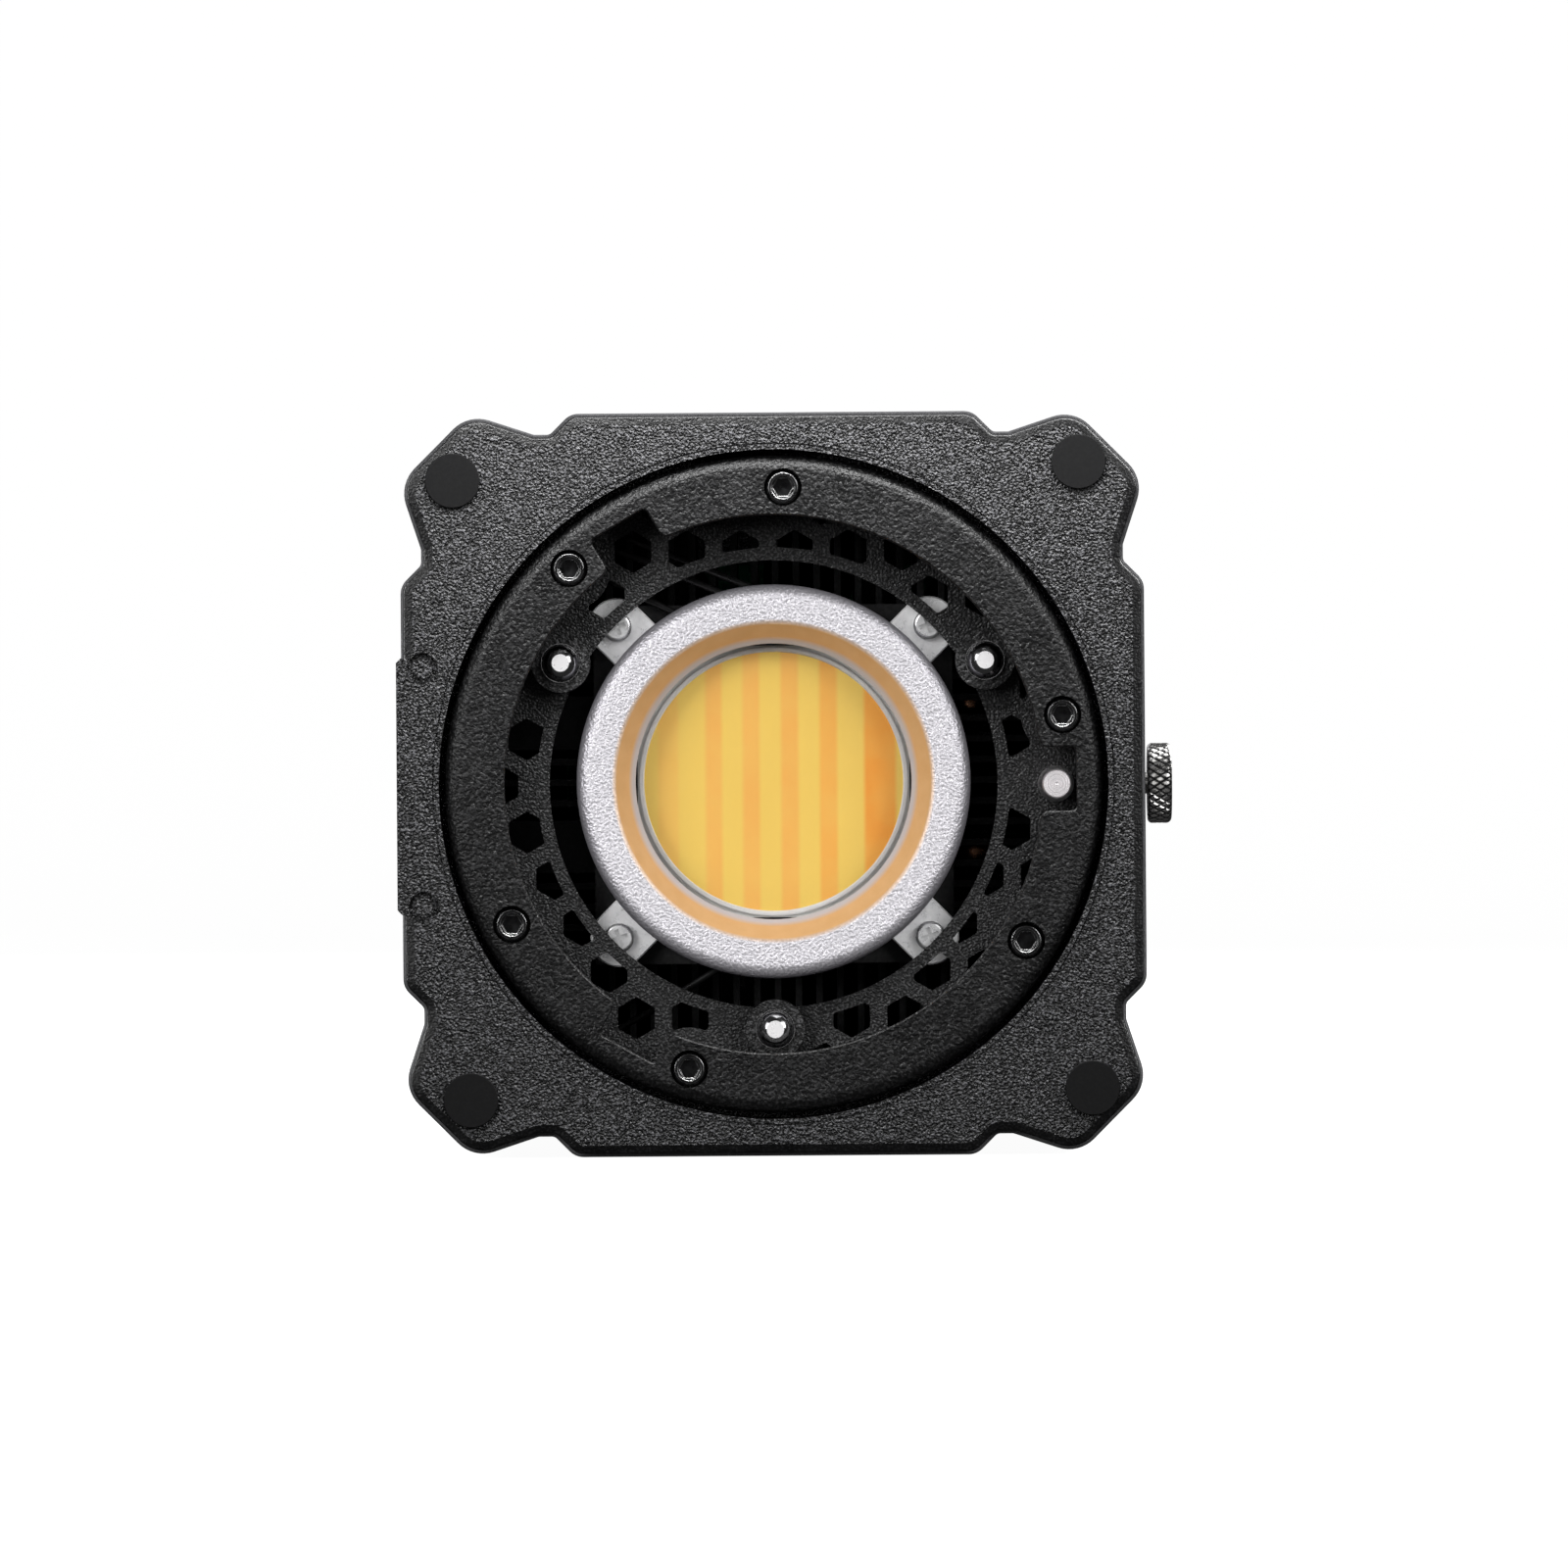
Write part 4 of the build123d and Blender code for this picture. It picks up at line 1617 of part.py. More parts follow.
with BuildPart() as power_inlet:
    # A mains inlet: flange, body, and a cavity with three flat pins that stop short of its mouth.
    with BuildSketch(facing_front(PANEL_BACK_Y, INLET_X, INLET_Z)):
        RectangleRounded(INLET_WIDTH + 2 * INLET_FLANGE, INLET_HEIGHT + 2 * INLET_FLANGE, 1.5)
    extrude(amount=-INLET_FLANGE_THICKNESS)
    with BuildSketch(facing_front(PANEL_BACK_Y, INLET_X, INLET_Z)):
        Rectangle(INLET_WIDTH, INLET_HEIGHT)
    extrude(amount=INLET_DEPTH)
    with BuildSketch(facing_front(PANEL_BACK_Y + INLET_FLANGE_THICKNESS, INLET_X, INLET_Z)) as cavity:
        Rectangle(INLET_CAVITY_WIDTH, INLET_CAVITY_HEIGHT)
        chamfer(cavity.vertices().group_by(Axis.Y)[-1], INLET_CHAMFER)
    extrude(amount=CAVITY_DEPTH, mode=Mode.SUBTRACT)
    with BuildSketch(facing_front(PANEL_BACK_Y - INLET_PIN_RECESS, INLET_X, INLET_Z)):
        with Locations(*INLET_PINS):
            Rectangle(INLET_PIN_THICKNESS, INLET_PIN_HEIGHT)
    extrude(amount=INLET_DEPTH - INLET_PIN_RECESS - 1)

power_inlet.part.label = "power_inlet"
export_step(power_inlet.part, "parts/power_inlet.step")
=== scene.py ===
import json
import math

import bmesh
import bpy
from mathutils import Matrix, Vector

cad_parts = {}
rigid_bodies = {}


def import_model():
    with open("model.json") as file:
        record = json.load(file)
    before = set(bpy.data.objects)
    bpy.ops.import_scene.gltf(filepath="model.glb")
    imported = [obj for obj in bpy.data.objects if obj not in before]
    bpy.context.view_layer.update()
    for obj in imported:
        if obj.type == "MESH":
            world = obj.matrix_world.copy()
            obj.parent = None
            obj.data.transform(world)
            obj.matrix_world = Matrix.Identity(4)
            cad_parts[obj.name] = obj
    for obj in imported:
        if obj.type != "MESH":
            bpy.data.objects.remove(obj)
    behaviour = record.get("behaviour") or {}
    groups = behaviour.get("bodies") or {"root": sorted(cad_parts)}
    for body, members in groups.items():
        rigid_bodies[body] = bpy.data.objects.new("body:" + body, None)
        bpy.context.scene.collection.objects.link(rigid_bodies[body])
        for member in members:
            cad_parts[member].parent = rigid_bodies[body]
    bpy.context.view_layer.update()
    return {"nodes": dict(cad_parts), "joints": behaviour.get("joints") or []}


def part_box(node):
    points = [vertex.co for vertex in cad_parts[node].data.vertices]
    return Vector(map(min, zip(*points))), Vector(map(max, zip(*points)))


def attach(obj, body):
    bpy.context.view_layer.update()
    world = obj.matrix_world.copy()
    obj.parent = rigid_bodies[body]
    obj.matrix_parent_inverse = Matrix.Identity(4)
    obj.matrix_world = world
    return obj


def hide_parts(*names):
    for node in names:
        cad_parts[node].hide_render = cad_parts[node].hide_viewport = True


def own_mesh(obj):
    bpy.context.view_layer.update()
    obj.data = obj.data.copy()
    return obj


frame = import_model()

# The looks of an open-face LED spotlight head, in metres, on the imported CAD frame.
# The light shines along -Y, +X is to the right as seen from the front, and +Z is up.

NODES = frame["nodes"]
MM = 0.001


def middle(node):
    """The middle of a CAD node's box."""
    low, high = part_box(node)
    return (low + high) / 2


def above(node, height):
    """A point above the middle of a CAD node's box, or below it if the height is negative."""
    return middle(node) + Vector((0, 0, height))


def half_width(node):
    """Half of a CAD node's extent along X."""
    low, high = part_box(node)
    return (high.x - low.x) / 2


RING = middle("mount_ring")
LED = middle("led_glass")
FRONT_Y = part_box("front_cover")[0].y

scene = bpy.context.scene
scene.view_settings.view_transform = "Standard"

# ---------------------------------------------------------------- camera

# The distance is from the front cover's face, and the view's width is what the camera sees there.
CAMERA_DISTANCE = 2.4
VIEW_WIDTH = 0.2864
SENSOR = 36.0
CAMERA_X = 0.0019
ROLL = math.radians(0.42)
CLIP_END = 40.0

camera_data = bpy.data.cameras.new("camera")
camera_data.sensor_width = SENSOR
camera_data.lens = SENSOR * CAMERA_DISTANCE / VIEW_WIDTH
camera_data.clip_end = CLIP_END
camera = bpy.data.objects.new("camera", camera_data)
camera.location = (CAMERA_X, FRONT_Y - CAMERA_DISTANCE, RING.z)
camera.rotation_euler = (math.radians(90), ROLL, 0)
scene.collection.objects.link(camera)
scene.camera = camera

# ---------------------------------------------------------------- material tools

# The sockets that a Mix node uses when it mixes colours.
MIX_SHARE = 0
MIX_FIRST = 6
MIX_SECOND = 7
MIX_RESULT = 2

# Noise runs from 0 to 1, but nearly all of it lies between these.
NOISE_LOW = 0.3
NOISE_HIGH = 0.7

BEVEL_SAMPLES = 4
# The cosine between the softened and the true normal where an edge begins, and on the edge.
EDGE_NONE = 0.99
EDGE_FULL = 0.85


class Surface:
    """A material with one Principled shader, and short calls that add nodes to it."""

    def __init__(self, name, **sockets):
        """Starts a material, with the shader's plain inputs by their names in lower case."""
        self.material = bpy.data.materials.new(name)
        self.material.use_nodes = True
        self.tree = self.material.node_tree
        self.shader = self.tree.nodes["Principled BSDF"]
        self.normal = None
        for socket, value in sockets.items():
            self.set(socket.replace("_", " ").title().replace("Ior", "IOR"), value)
        self.place = self.add("TexCoord", output="Object")

    def set(self, socket, value):
        """Gives the shader a plain value, or the output of a node."""
        self.join(value, self.shader.inputs[socket])

    def join(self, value, socket):
        """Links the output of a node to a socket, or gives it a plain number, vector or colour."""
        if isinstance(value, bpy.types.NodeSocket):
            self.tree.links.new(value, socket)
        elif socket.type == "RGBA":
            socket.default_value = (*value, 1)
        else:
            socket.default_value = value

    def add(self, kind, inputs=None, output=0, **settings):
        """Adds a node and returns one of its outputs."""
        node = self.tree.nodes.new("ShaderNode" + kind)
        for key, value in settings.items():
            setattr(node, key, value)
        for key, value in (inputs or {}).items():
            self.join(value, node.inputs[key])
        return node.outputs[output]

    def math(self, operation, first, second=0.0):
        """One step of arithmetic on numbers."""
        return self.add("Math", {0: first, 1: second}, operation=operation)

    def vector(self, operation, first, second=(0, 0, 0), output=0):
        """One step of arithmetic on vectors."""
        return self.add("VectorMath", {0: first, 1: second}, output, operation=operation)

    def stretched(self, scale):
        """The place on the object, scaled along each axis."""
        return self.vector("MULTIPLY", self.place, scale)

    def noise(self, size, detail=2.0, roughness=0.5, place=None, distortion=0.0):
        """Noise from 0 to 1, with features of about the given size in metres."""
        inputs = {
            "Vector": place or self.place,
            "Scale": 1 / size,
            "Detail": detail,
            "Roughness": roughness,
            "Distortion": distortion,
        }
        return self.add("TexNoise", inputs)

    def cells(self, size, **settings):
        """The distance from the middles of Voronoi cells of about the given size in metres."""
        inputs = {"Vector": self.place, "Scale": 1 / size}
        return self.add("TexVoronoi", inputs, "Distance", **settings)

    def remap(self, value, low, high, to_low=0.0, to_high=1.0):
        """Carries a range of values to another, and holds it there."""
        inputs = {
            "Value": value,
            "From Min": low,
            "From Max": high,
            "To Min": to_low,
            "To Max": to_high,
        }
        return self.add("MapRange", inputs)

    def spread(self, noise, to_low=0.0, to_high=1.0):
        """Carries the range that nearly all of a noise keeps to, to another range."""
        return self.remap(noise, NOISE_LOW, NOISE_HIGH, to_low, to_high)

    def blend(self, share, first, second):
        """A colour between two, by a share from 0 to 1."""
        node = self.tree.nodes.new("ShaderNodeMix")
        node.data_type = "RGBA"
        for value, index in ((share, MIX_SHARE), (first, MIX_FIRST), (second, MIX_SECOND)):
            self.join(value, node.inputs[index])
        return node.outputs[MIX_RESULT]

    def paint(self, share, first, second):
        """Gives the surface a colour between two, by a share from 0 to 1."""
        self.set("Base Color", self.blend(share, first, second))

    def roughen(self, noise, low, high):
        """Lets the roughness wander between two values, as a noise does."""
        self.set("Roughness", self.spread(noise, low, high))

    def bump(self, height, distance):
        """Raises the surface by a height from 0 to 1 times a distance, over the bumps it has."""
        inputs = {"Height": height, "Distance": distance}
        if self.normal:
            inputs["Normal"] = self.normal
        self.normal = self.add("Bump", inputs)
        self.set("Normal", self.normal)

    def soften(self, radius):
        """Shades the edges as if they were rounded, and returns how near an edge a point is."""
        self.normal = self.add("Bevel", {"Radius": radius}, samples=BEVEL_SAMPLES)
        self.set("Normal", self.normal)
        flat = self.add("NewGeometry", output="Normal")
        likeness = self.vector("DOT_PRODUCT", self.normal, flat, output="Value")
        return self.remap(likeness, EDGE_NONE, EDGE_FULL)

    def facing_ends(self, low=0.984, high=0.998):
        """1 where the surface faces straight to the front or back, and 0 where it leans away."""
        normal = self.add("TexCoord", output="Normal")
        likeness = self.vector("DOT_PRODUCT", normal, (0, -1, 0), output="Value")
        return self.remap(self.math("ABSOLUTE", likeness), low, high)

    def within(self, axis, centre, half):
        """1 where the place along an axis is within a half width of a centre, and 0 elsewhere."""
        along = self.add("SeparateXYZ", {"Vector": self.place}, axis)
        return self.add("Math", {0: along, 1: centre, 2: half}, operation="COMPARE")

    def patch(self, centre, half_x, half_z):
        """1 inside a rectangle about a centre, seen along Y."""
        in_x = self.within("X", centre.x, half_x)
        in_z = self.within("Z", centre.z, half_z)
        return self.math("MULTIPLY", in_x, in_z)

    def circle(self, centre, radius, half):
        """1 on a ring of the given radius and half width, seen along Y."""
        return self.add("Math", {0: self.away(centre), 1: radius, 2: half}, operation="COMPARE")

    def any_of(self, shares):
        """The largest of several shares."""
        total = shares[0]
        for share in shares[1:]:
            total = self.math("MAXIMUM", total, share)
        return total

    def away(self, centre):
        """The distance from an axis along Y through a point."""
        offset = self.vector("SUBTRACT", self.place, (centre.x, 0, centre.z))
        flat = self.vector("MULTIPLY", offset, (1, 0, 1))
        return self.vector("LENGTH", flat, output="Value")


MATERIALS = {}


def material(make):
    """Keeps what a function makes under its name, and makes it only once."""

    def kept():
        if make.__name__ not in MATERIALS:
            MATERIALS[make.__name__] = make().material
        return MATERIALS[make.__name__]

    return kept


# ---------------------------------------------------------------- materials


@material
def cover_grain():
    """Black moulded plastic with a coarse, glittering spark grain on its flat faces."""
    s = Surface("cover_grain")
    face = s.facing_ends()
    grain = s.noise(0.44 * MM, detail=1.0)
    fleck = s.math("MULTIPLY", s.remap(grain, 0.52, 0.7), s.remap(face, 0, 1, 0.12, 1.0))
    s.paint(fleck, (0.0015, 0.0015, 0.0017), (0.11, 0.11, 0.118))
    s.roughen(s.noise(4 * MM), 0.28, 0.4)
    depth = s.math("MULTIPLY", grain, s.remap(face, 0, 1, 0.25, 1.0))
    s.bump(depth, 0.4 * MM)
    return s


@material
def ring_coat():
    """Black powder coat with a soft, low wrinkle."""
    s = Surface("ring_coat", specular_ior_level=0.4)
    wrinkle = s.noise(0.62 * MM, detail=1.0, distortion=0.3)
    ridge = s.remap(wrinkle, 0.48, 0.72)
    s.paint(ridge, (0.003, 0.003, 0.0032), (0.026, 0.026, 0.027))
    s.roughen(s.noise(6 * MM), 0.36, 0.48)
    s.bump(wrinkle, 0.3 * MM)
    return s


@material
def plate_coat():
    """Black coat with a fine grain."""
    s = Surface("plate_coat")
    grain = s.noise(0.45 * MM, detail=1.0)
    s.paint(s.remap(grain, 0.5, 0.72), (0.003, 0.003, 0.0032), (0.07, 0.07, 0.072))
    s.roughen(s.noise(5 * MM), 0.36, 0.48)
    s.bump(grain, 0.25 * MM)
    return s


@material
def shell_anodised():
    """Bead-blasted aluminium, anodised grey, with a painted highlight along its edges."""
    s = Surface("shell_anodised", metallic=0.8)
    edge = s.soften(0.25 * MM)
    grain = s.noise(0.3 * MM, detail=1.0)
    tone = s.blend(s.spread(grain), (0.18, 0.18, 0.188), (0.24, 0.24, 0.25))
    # Painted highlight: the edges are painted lighter than the face.
    s.paint(edge, tone, (0.48, 0.48, 0.49))
    s.roughen(grain, 0.48, 0.58)
    s.bump(grain, 0.03 * MM)
    return s


@material
def side_plate_metal():
    """Dark brushed aluminium, with streaks along its length."""
    s = Surface("side_plate_metal", metallic=1.0, anisotropic=0.4)
    streak = s.noise(1.0, detail=3, place=s.stretched((5000, 60, 5000)))
    s.paint(s.spread(streak), (0.075, 0.075, 0.08), (0.13, 0.13, 0.135))
    s.roughen(streak, 0.3, 0.46)
    s.bump(streak, 0.01 * MM)
    return s


@material
def black_oxide():
    """Steel screws in glossy black oxide, with a painted highlight along their edges."""
    s = Surface("black_oxide", metallic=1.0)
    edge = s.soften(0.2 * MM)
    patch = s.noise(1.5 * MM, detail=3)
    tone = s.blend(s.remap(patch, 0.35, 0.7), (0.07, 0.07, 0.073), (0.11, 0.11, 0.114))
    # Painted highlight: the edges are painted near white.
    s.paint(edge, tone, (0.6, 0.6, 0.6))
    s.roughen(patch, 0.24, 0.36)
    return s


@material
def turned_pin():
    """Bright steel turned on a lathe, with fine rings on its end."""
    s = Surface("turned_pin", metallic=0.8)
    away = s.away(middle("lock_pin"))
    across = s.add("CombineXYZ", {"X": away})
    rings = s.noise(0.16 * MM, roughness=0.6, place=across)
    s.paint(s.remap(rings, 0.3, 0.65), (0.42, 0.38, 0.4), (0.97, 0.94, 0.95))
    s.roughen(rings, 0.4, 0.22)
    s.bump(rings, 0.03 * MM)
    s.bump(s.remap(away, 0.0, 0.25 * MM), 0.08 * MM)
    return s


@material
def polished_steel():
    """Hardened steel, polished on its sides and brushed on its end, with a painted highlight on its
    end and painted shade on its sides.
    """
    s = Surface("polished_steel")
    end = s.facing_ends(0.9, 0.98)
    smear = s.noise(1.5 * MM, detail=4, roughness=0.6)
    # Painted highlight and shade: the end is painted near white and the sides much darker.
    s.paint(end, (0.42, 0.42, 0.43), (0.95, 0.94, 0.95))
    s.set("Metallic", s.remap(end, 0, 1, 1.0, 0.6))
    s.set("Roughness", s.remap(s.math("ADD", end, s.remap(smear, 0.3, 0.75)), 0, 2, 0.08, 0.38))
    return s


KNURL_COUNT = 32
KNURL_LEAN = math.radians(33)
KNOB_THICKNESS = 4.4 * MM
# Half widths as shares of the knurl's pitch: where a groove's full painted shade ends and where its
# land is free of it.
GROOVE_HALF = 0.1
LAND_FROM = 0.24


def knurl_lands(s):
    """1 on the lands of the knob's crossed knurl, and 0 in its grooves."""
    low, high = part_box("release_knob")
    radius = (high.z - low.z) / 2
    centre = (high.x - KNOB_THICKNESS / 2, (low.y + high.y) / 2, (low.z + high.z) / 2)
    offset = s.vector("SUBTRACT", s.place, centre)
    along = s.add("SeparateXYZ", {"Vector": offset}, "X")
    side = s.add("SeparateXYZ", {"Vector": offset}, "Y")
    up = s.add("SeparateXYZ", {"Vector": offset}, "Z")
    turn = s.math("MULTIPLY", s.math("ARCTAN2", up, side), KNURL_COUNT / (2 * math.pi))
    pitch = 2 * math.pi * radius / KNURL_COUNT
    lean = s.math("MULTIPLY", along, math.tan(KNURL_LEAN) / pitch)
    lands = []
    for crossed in (s.math("ADD", turn, lean), s.math("SUBTRACT", turn, lean)):
        place = s.math("SUBTRACT", s.math("FRACT", s.math("ADD", crossed, 0.5)), 0.5)
        lands.append(s.remap(s.math("ABSOLUTE", place), GROOVE_HALF, LAND_FROM))
    return s.math("MULTIPLY", lands[0], lands[1])


@material
def knurled_chrome():
    """Bright nickel plate, with painted shade in the knurl's grooves."""
    s = Surface("knurled_chrome", metallic=1.0)
    grime = s.noise(0.8 * MM, detail=4, roughness=0.6)
    plate = s.blend(s.remap(grime, 0.35, 0.7), (0.66, 0.65, 0.63), (0.9, 0.89, 0.87))
    # Painted shade: the knurl's grooves are painted near black.
    s.paint(knurl_lands(s), (0.1, 0.1, 0.1), plate)
    s.roughen(grime, 0.2, 0.34)
    return s


@material
def spring_wire():
    """Bright drawn wire with marks along its length."""
    s = Surface("spring_wire", base_color=(0.55, 0.55, 0.57), metallic=1.0)
    s.roughen(s.noise(0.4 * MM, detail=3), 0.2, 0.42)
    s.bump(s.noise(0.2 * MM), 0.006 * MM)
    return s


@material
def black_rubber():
    """Matt black rubber with a fine dusty grain."""
    s = Surface("black_rubber", specular_ior_level=0.15)
    dust = s.noise(0.5 * MM, detail=3, roughness=0.6)
    s.paint(s.remap(dust, 0.4, 0.75), (0.0065, 0.0065, 0.0068), (0.011, 0.011, 0.0113))
    s.roughen(dust, 0.78, 0.92)
    s.bump(dust, 0.01 * MM)
    return s


# Distances from the LED's axis between which the bezel's grain, the painted orange reflection of
# the phosphor on its cone and the painted shade of its rim set in.
BEZEL_GRAIN_FROM = 28.7 * MM
BEZEL_GRAIN_FULL = 29.7 * MM
BEZEL_REFLECTION_FROM = 25.8 * MM
BEZEL_REFLECTION_FULL = 26.6 * MM
BEZEL_SHADE_FROM = 33.6 * MM
BEZEL_SHADE_FULL = 36.2 * MM


@material
def blasted_silver():
    """Sand-blasted silver on the face, with painted shade towards its rim, and a smoother cone
    inside that carries a painted orange reflection of the phosphor.
    """
    s = Surface("blasted_silver")
    face = s.remap(s.away(LED), BEZEL_GRAIN_FROM, BEZEL_GRAIN_FULL)
    grain = s.noise(0.5 * MM, detail=1.0)
    blasted = s.blend(s.remap(grain, 0.3, 0.6), (0.52, 0.505, 0.54), (0.8, 0.78, 0.82))
    # Painted reflection: the cone's orange stands in for the phosphor's colour reflected in the
    # metal.
    painted_phosphor_reflection = s.blend(s.spread(s.noise(3 * MM)), (0.78, 0.46, 0.2), (0.82, 0.5, 0.23))
    cone = s.remap(s.away(LED), BEZEL_REFLECTION_FROM, BEZEL_REFLECTION_FULL)
    inside = s.blend(cone, (0.62, 0.58, 0.6), painted_phosphor_reflection)
    # Painted shade: the face is painted darker towards the rim's outer edge.
    outer = s.remap(s.away(LED), BEZEL_SHADE_FROM, BEZEL_SHADE_FULL)
    s.paint(face, inside, s.blend(outer, blasted, (0.3, 0.29, 0.32)))
    s.set("Roughness", s.remap(face, 0, 1, 0.55, 0.46))
    s.set("Metallic", s.remap(face, 0, 1, 0.15, 0.6))
    s.bump(s.math("MULTIPLY", grain, s.remap(face, 0, 1, 0.1, 1.0)), 0.22 * MM)
    return s


@material
def bright_plate():
    """Bright rolled aluminium with fine scratches."""
    s = Surface("bright_plate", metallic=0.25)
    patch = s.noise(1.6 * MM, detail=5, roughness=0.65)
    s.paint(s.spread(patch), (0.74, 0.74, 0.75), (0.97, 0.97, 0.97))
    s.roughen(patch, 0.22, 0.42)
    s.bump(s.noise(0.35 * MM, detail=3), 0.03 * MM)
    return s


@material
def zinc_plate():
    """Zinc-plated steel, slightly cloudy."""
    s = Surface("zinc_plate", metallic=0.8)
    cloud = s.noise(1.5 * MM, detail=4)
    s.paint(s.spread(cloud), (0.5, 0.5, 0.51), (0.78, 0.78, 0.78))
    s.roughen(cloud, 0.24, 0.4)
    s.bump(s.noise(0.3 * MM), 0.01 * MM)
    return s


@material
def coated_glass():
    """Thin coated glass, nearly clear, with a faint film that dulls it unevenly."""
    s = Surface("coated_glass", base_color=(0.9, 0.93, 1.0), metallic=1.0, alpha=0.05)
    s.set("Roughness", s.remap(s.noise(9 * MM, detail=3), 0.4, 0.7, 0.02, 0.07))
    return s


PHOSPHOR_SPAN = half_width("led_phosphor")
BAND_EDGE = 0.4 * MM
BAND_YELLOW = (0.88, 0.6, 0.12)
# Each band's place across the window, its half width and its colour.
BAND_SPOTS = [
    (-19.4 * MM, 1.9 * MM, (0.9, 0.53, 0.11)),
    (-11.0 * MM, 1.5 * MM, (0.9, 0.47, 0.1)),
    (-4.1 * MM, 1.55 * MM, (0.9, 0.47, 0.1)),
    (3.0 * MM, 1.6 * MM, (0.9, 0.46, 0.095)),
    (10.1 * MM, 1.6 * MM, (0.9, 0.44, 0.08)),
    (19.6 * MM, 2.9 * MM, (0.92, 0.36, 0.045)),
]
# How far the bands' stops keep from the ends of the ramp.
RAMP_MARGIN = 0.001
PHOSPHOR_PAINTED_GLOW = 0.14


@material
def phosphor_bands():
    """Silicone over phosphor, in vertical bands, with a faint painted glow that evens out the shade
    on it.
    """
    s = Surface("phosphor_bands", roughness=0.35, specular_ior_level=0.35)
    across = s.add("SeparateXYZ", {"Vector": s.place}, "X")
    share = s.remap(across, -PHOSPHOR_SPAN, PHOSPHOR_SPAN)
    node = s.tree.nodes.new("ShaderNodeValToRGB")
    s.join(share, node.inputs["Fac"])
    stops = node.color_ramp.elements
    stops[0].color = (*BAND_YELLOW, 1)
    stops[1].color = (*BAND_YELLOW, 1)
    for spot, half, colour in BAND_SPOTS:
        for side, tone in ((-1, BAND_YELLOW), (-1, colour), (1, colour), (1, BAND_YELLOW)):
            reach = half + (BAND_EDGE if tone == BAND_YELLOW else -BAND_EDGE)
            at = (spot + side * reach) / PHOSPHOR_SPAN / 2 + 0.5
            stop = stops.new(min(max(at, RAMP_MARGIN), 1 - RAMP_MARGIN))
            stop.color = (*tone, 1)
    cloud = s.remap(s.noise(7 * MM), 0.35, 0.7, 0.0, 0.25)
    tone = s.blend(cloud, node.outputs["Color"], (0.9, 0.63, 0.14))
    s.set("Base Color", tone)
    # Painted light: a faint glow of the bands' own colour lifts the shade on the phosphor.
    s.set("Emission Color", tone)
    s.set("Emission Strength", PHOSPHOR_PAINTED_GLOW)
    s.bump(s.noise(2.5 * MM), 0.02 * MM)
    return s


@material
def white_silicone():
    """The white silicone dam, slightly glossy."""
    s = Surface("white_silicone", roughness=0.4)
    s.paint(s.noise(1.5 * MM, detail=3), (0.78, 0.76, 0.74), (0.9, 0.9, 0.9))
    s.bump(s.noise(1.0 * MM), 0.02 * MM)
    return s


@material
def white_mask():
    """White solder mask on an aluminium board."""
    s = Surface("white_mask", roughness=0.4)
    s.paint(s.noise(3 * MM, detail=4), (0.7, 0.7, 0.68), (0.8, 0.8, 0.78))
    s.bump(s.noise(0.4 * MM), 0.008 * MM)
    return s


@material
def black_anodised():
    """Black anodised extrusion with fine die lines."""
    s = Surface("black_anodised")
    line = s.noise(1.0, detail=3, place=s.stretched((1800, 30, 1800)))
    s.paint(s.spread(line), (0.012, 0.012, 0.0125), (0.028, 0.028, 0.029))
    s.roughen(line, 0.36, 0.52)
    s.bump(line, 0.02 * MM)
    return s


@material
def dull_copper():
    """Copper pipe, partly tarnished."""
    s = Surface("dull_copper", metallic=1.0)
    tarnish = s.remap(s.noise(3 * MM, detail=5, roughness=0.6), 0.45, 0.65)
    s.paint(tarnish, (0.75, 0.38, 0.22), (0.36, 0.15, 0.09))
    s.set("Roughness", s.remap(tarnish, 0, 1, 0.22, 0.45))
    s.bump(s.noise(0.8 * MM), 0.01 * MM)
    return s


@material
def lead_silicone():
    """The glossy black silicone jacket of a lead."""
    s = Surface("lead_silicone", base_color=(0.012, 0.012, 0.012))
    s.roughen(s.noise(2 * MM, detail=3), 0.24, 0.4)
    s.bump(s.noise(0.6 * MM), 0.012 * MM)
    return s


@material
def moulded_black():
    """Plain black moulded plastic with a fine matt grain."""
    s = Surface("moulded_black")
    s.soften(0.2 * MM)
    grain = s.noise(0.25 * MM)
    s.paint(s.remap(grain, 0.45, 0.75), (0.016, 0.016, 0.017), (0.03, 0.03, 0.031))
    s.roughen(s.noise(8 * MM, detail=3), 0.44, 0.58)
    s.bump(grain, 0.03 * MM)
    return s


def print_white(s, marks, plain):
    """Paints white marks over a surface's own colour."""
    white = s.blend(s.noise(0.3 * MM, detail=3), (0.5, 0.5, 0.5), (0.72, 0.72, 0.72))
    s.paint(marks, plain, white)


MARK_REACH = 0.12 * MM


def back_only(s, node, marks):
    """Keeps marks to the rear face of a node."""
    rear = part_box(node)[1].y
    return s.math("MULTIPLY", marks, s.within("Y", rear, MARK_REACH))


POINTER_HEIGHT = 5.2 * MM
POINTER_HALF_WIDTH = 0.35 * MM
POINTER_HALF_LENGTH = 2.2 * MM


def pointer_dial(node):
    """A satin black dial, worn a little at its edges, with a white pointer on its end."""
    s = Surface(node + "_finish")
    edge = s.soften(0.25 * MM)
    s.roughen(s.noise(1.5 * MM, detail=4), 0.32, 0.46)
    s.bump(s.noise(0.3 * MM), 0.01 * MM)
    pointer = s.patch(above(node, POINTER_HEIGHT), POINTER_HALF_WIDTH, POINTER_HALF_LENGTH)
    plain = s.blend(edge, (0.02, 0.02, 0.021), (0.06, 0.06, 0.061))
    print_white(s, back_only(s, node, pointer), plain)
    return s.material


SYMBOL_LINE_HALF = 0.18 * MM
MENU_ROWS = (-1.0 * MM, 0.0, 1.0 * MM)
MENU_ROW_HALF = 1.5 * MM
MODE_RING_RADIUS = 1.1 * MM
MODE_DOT_RADIUS = 0.35 * MM
BLADE_HALF_WIDTH = 0.22 * MM
BLADE_LENGTH = 1.4 * MM
HUB_RADIUS = 0.6 * MM


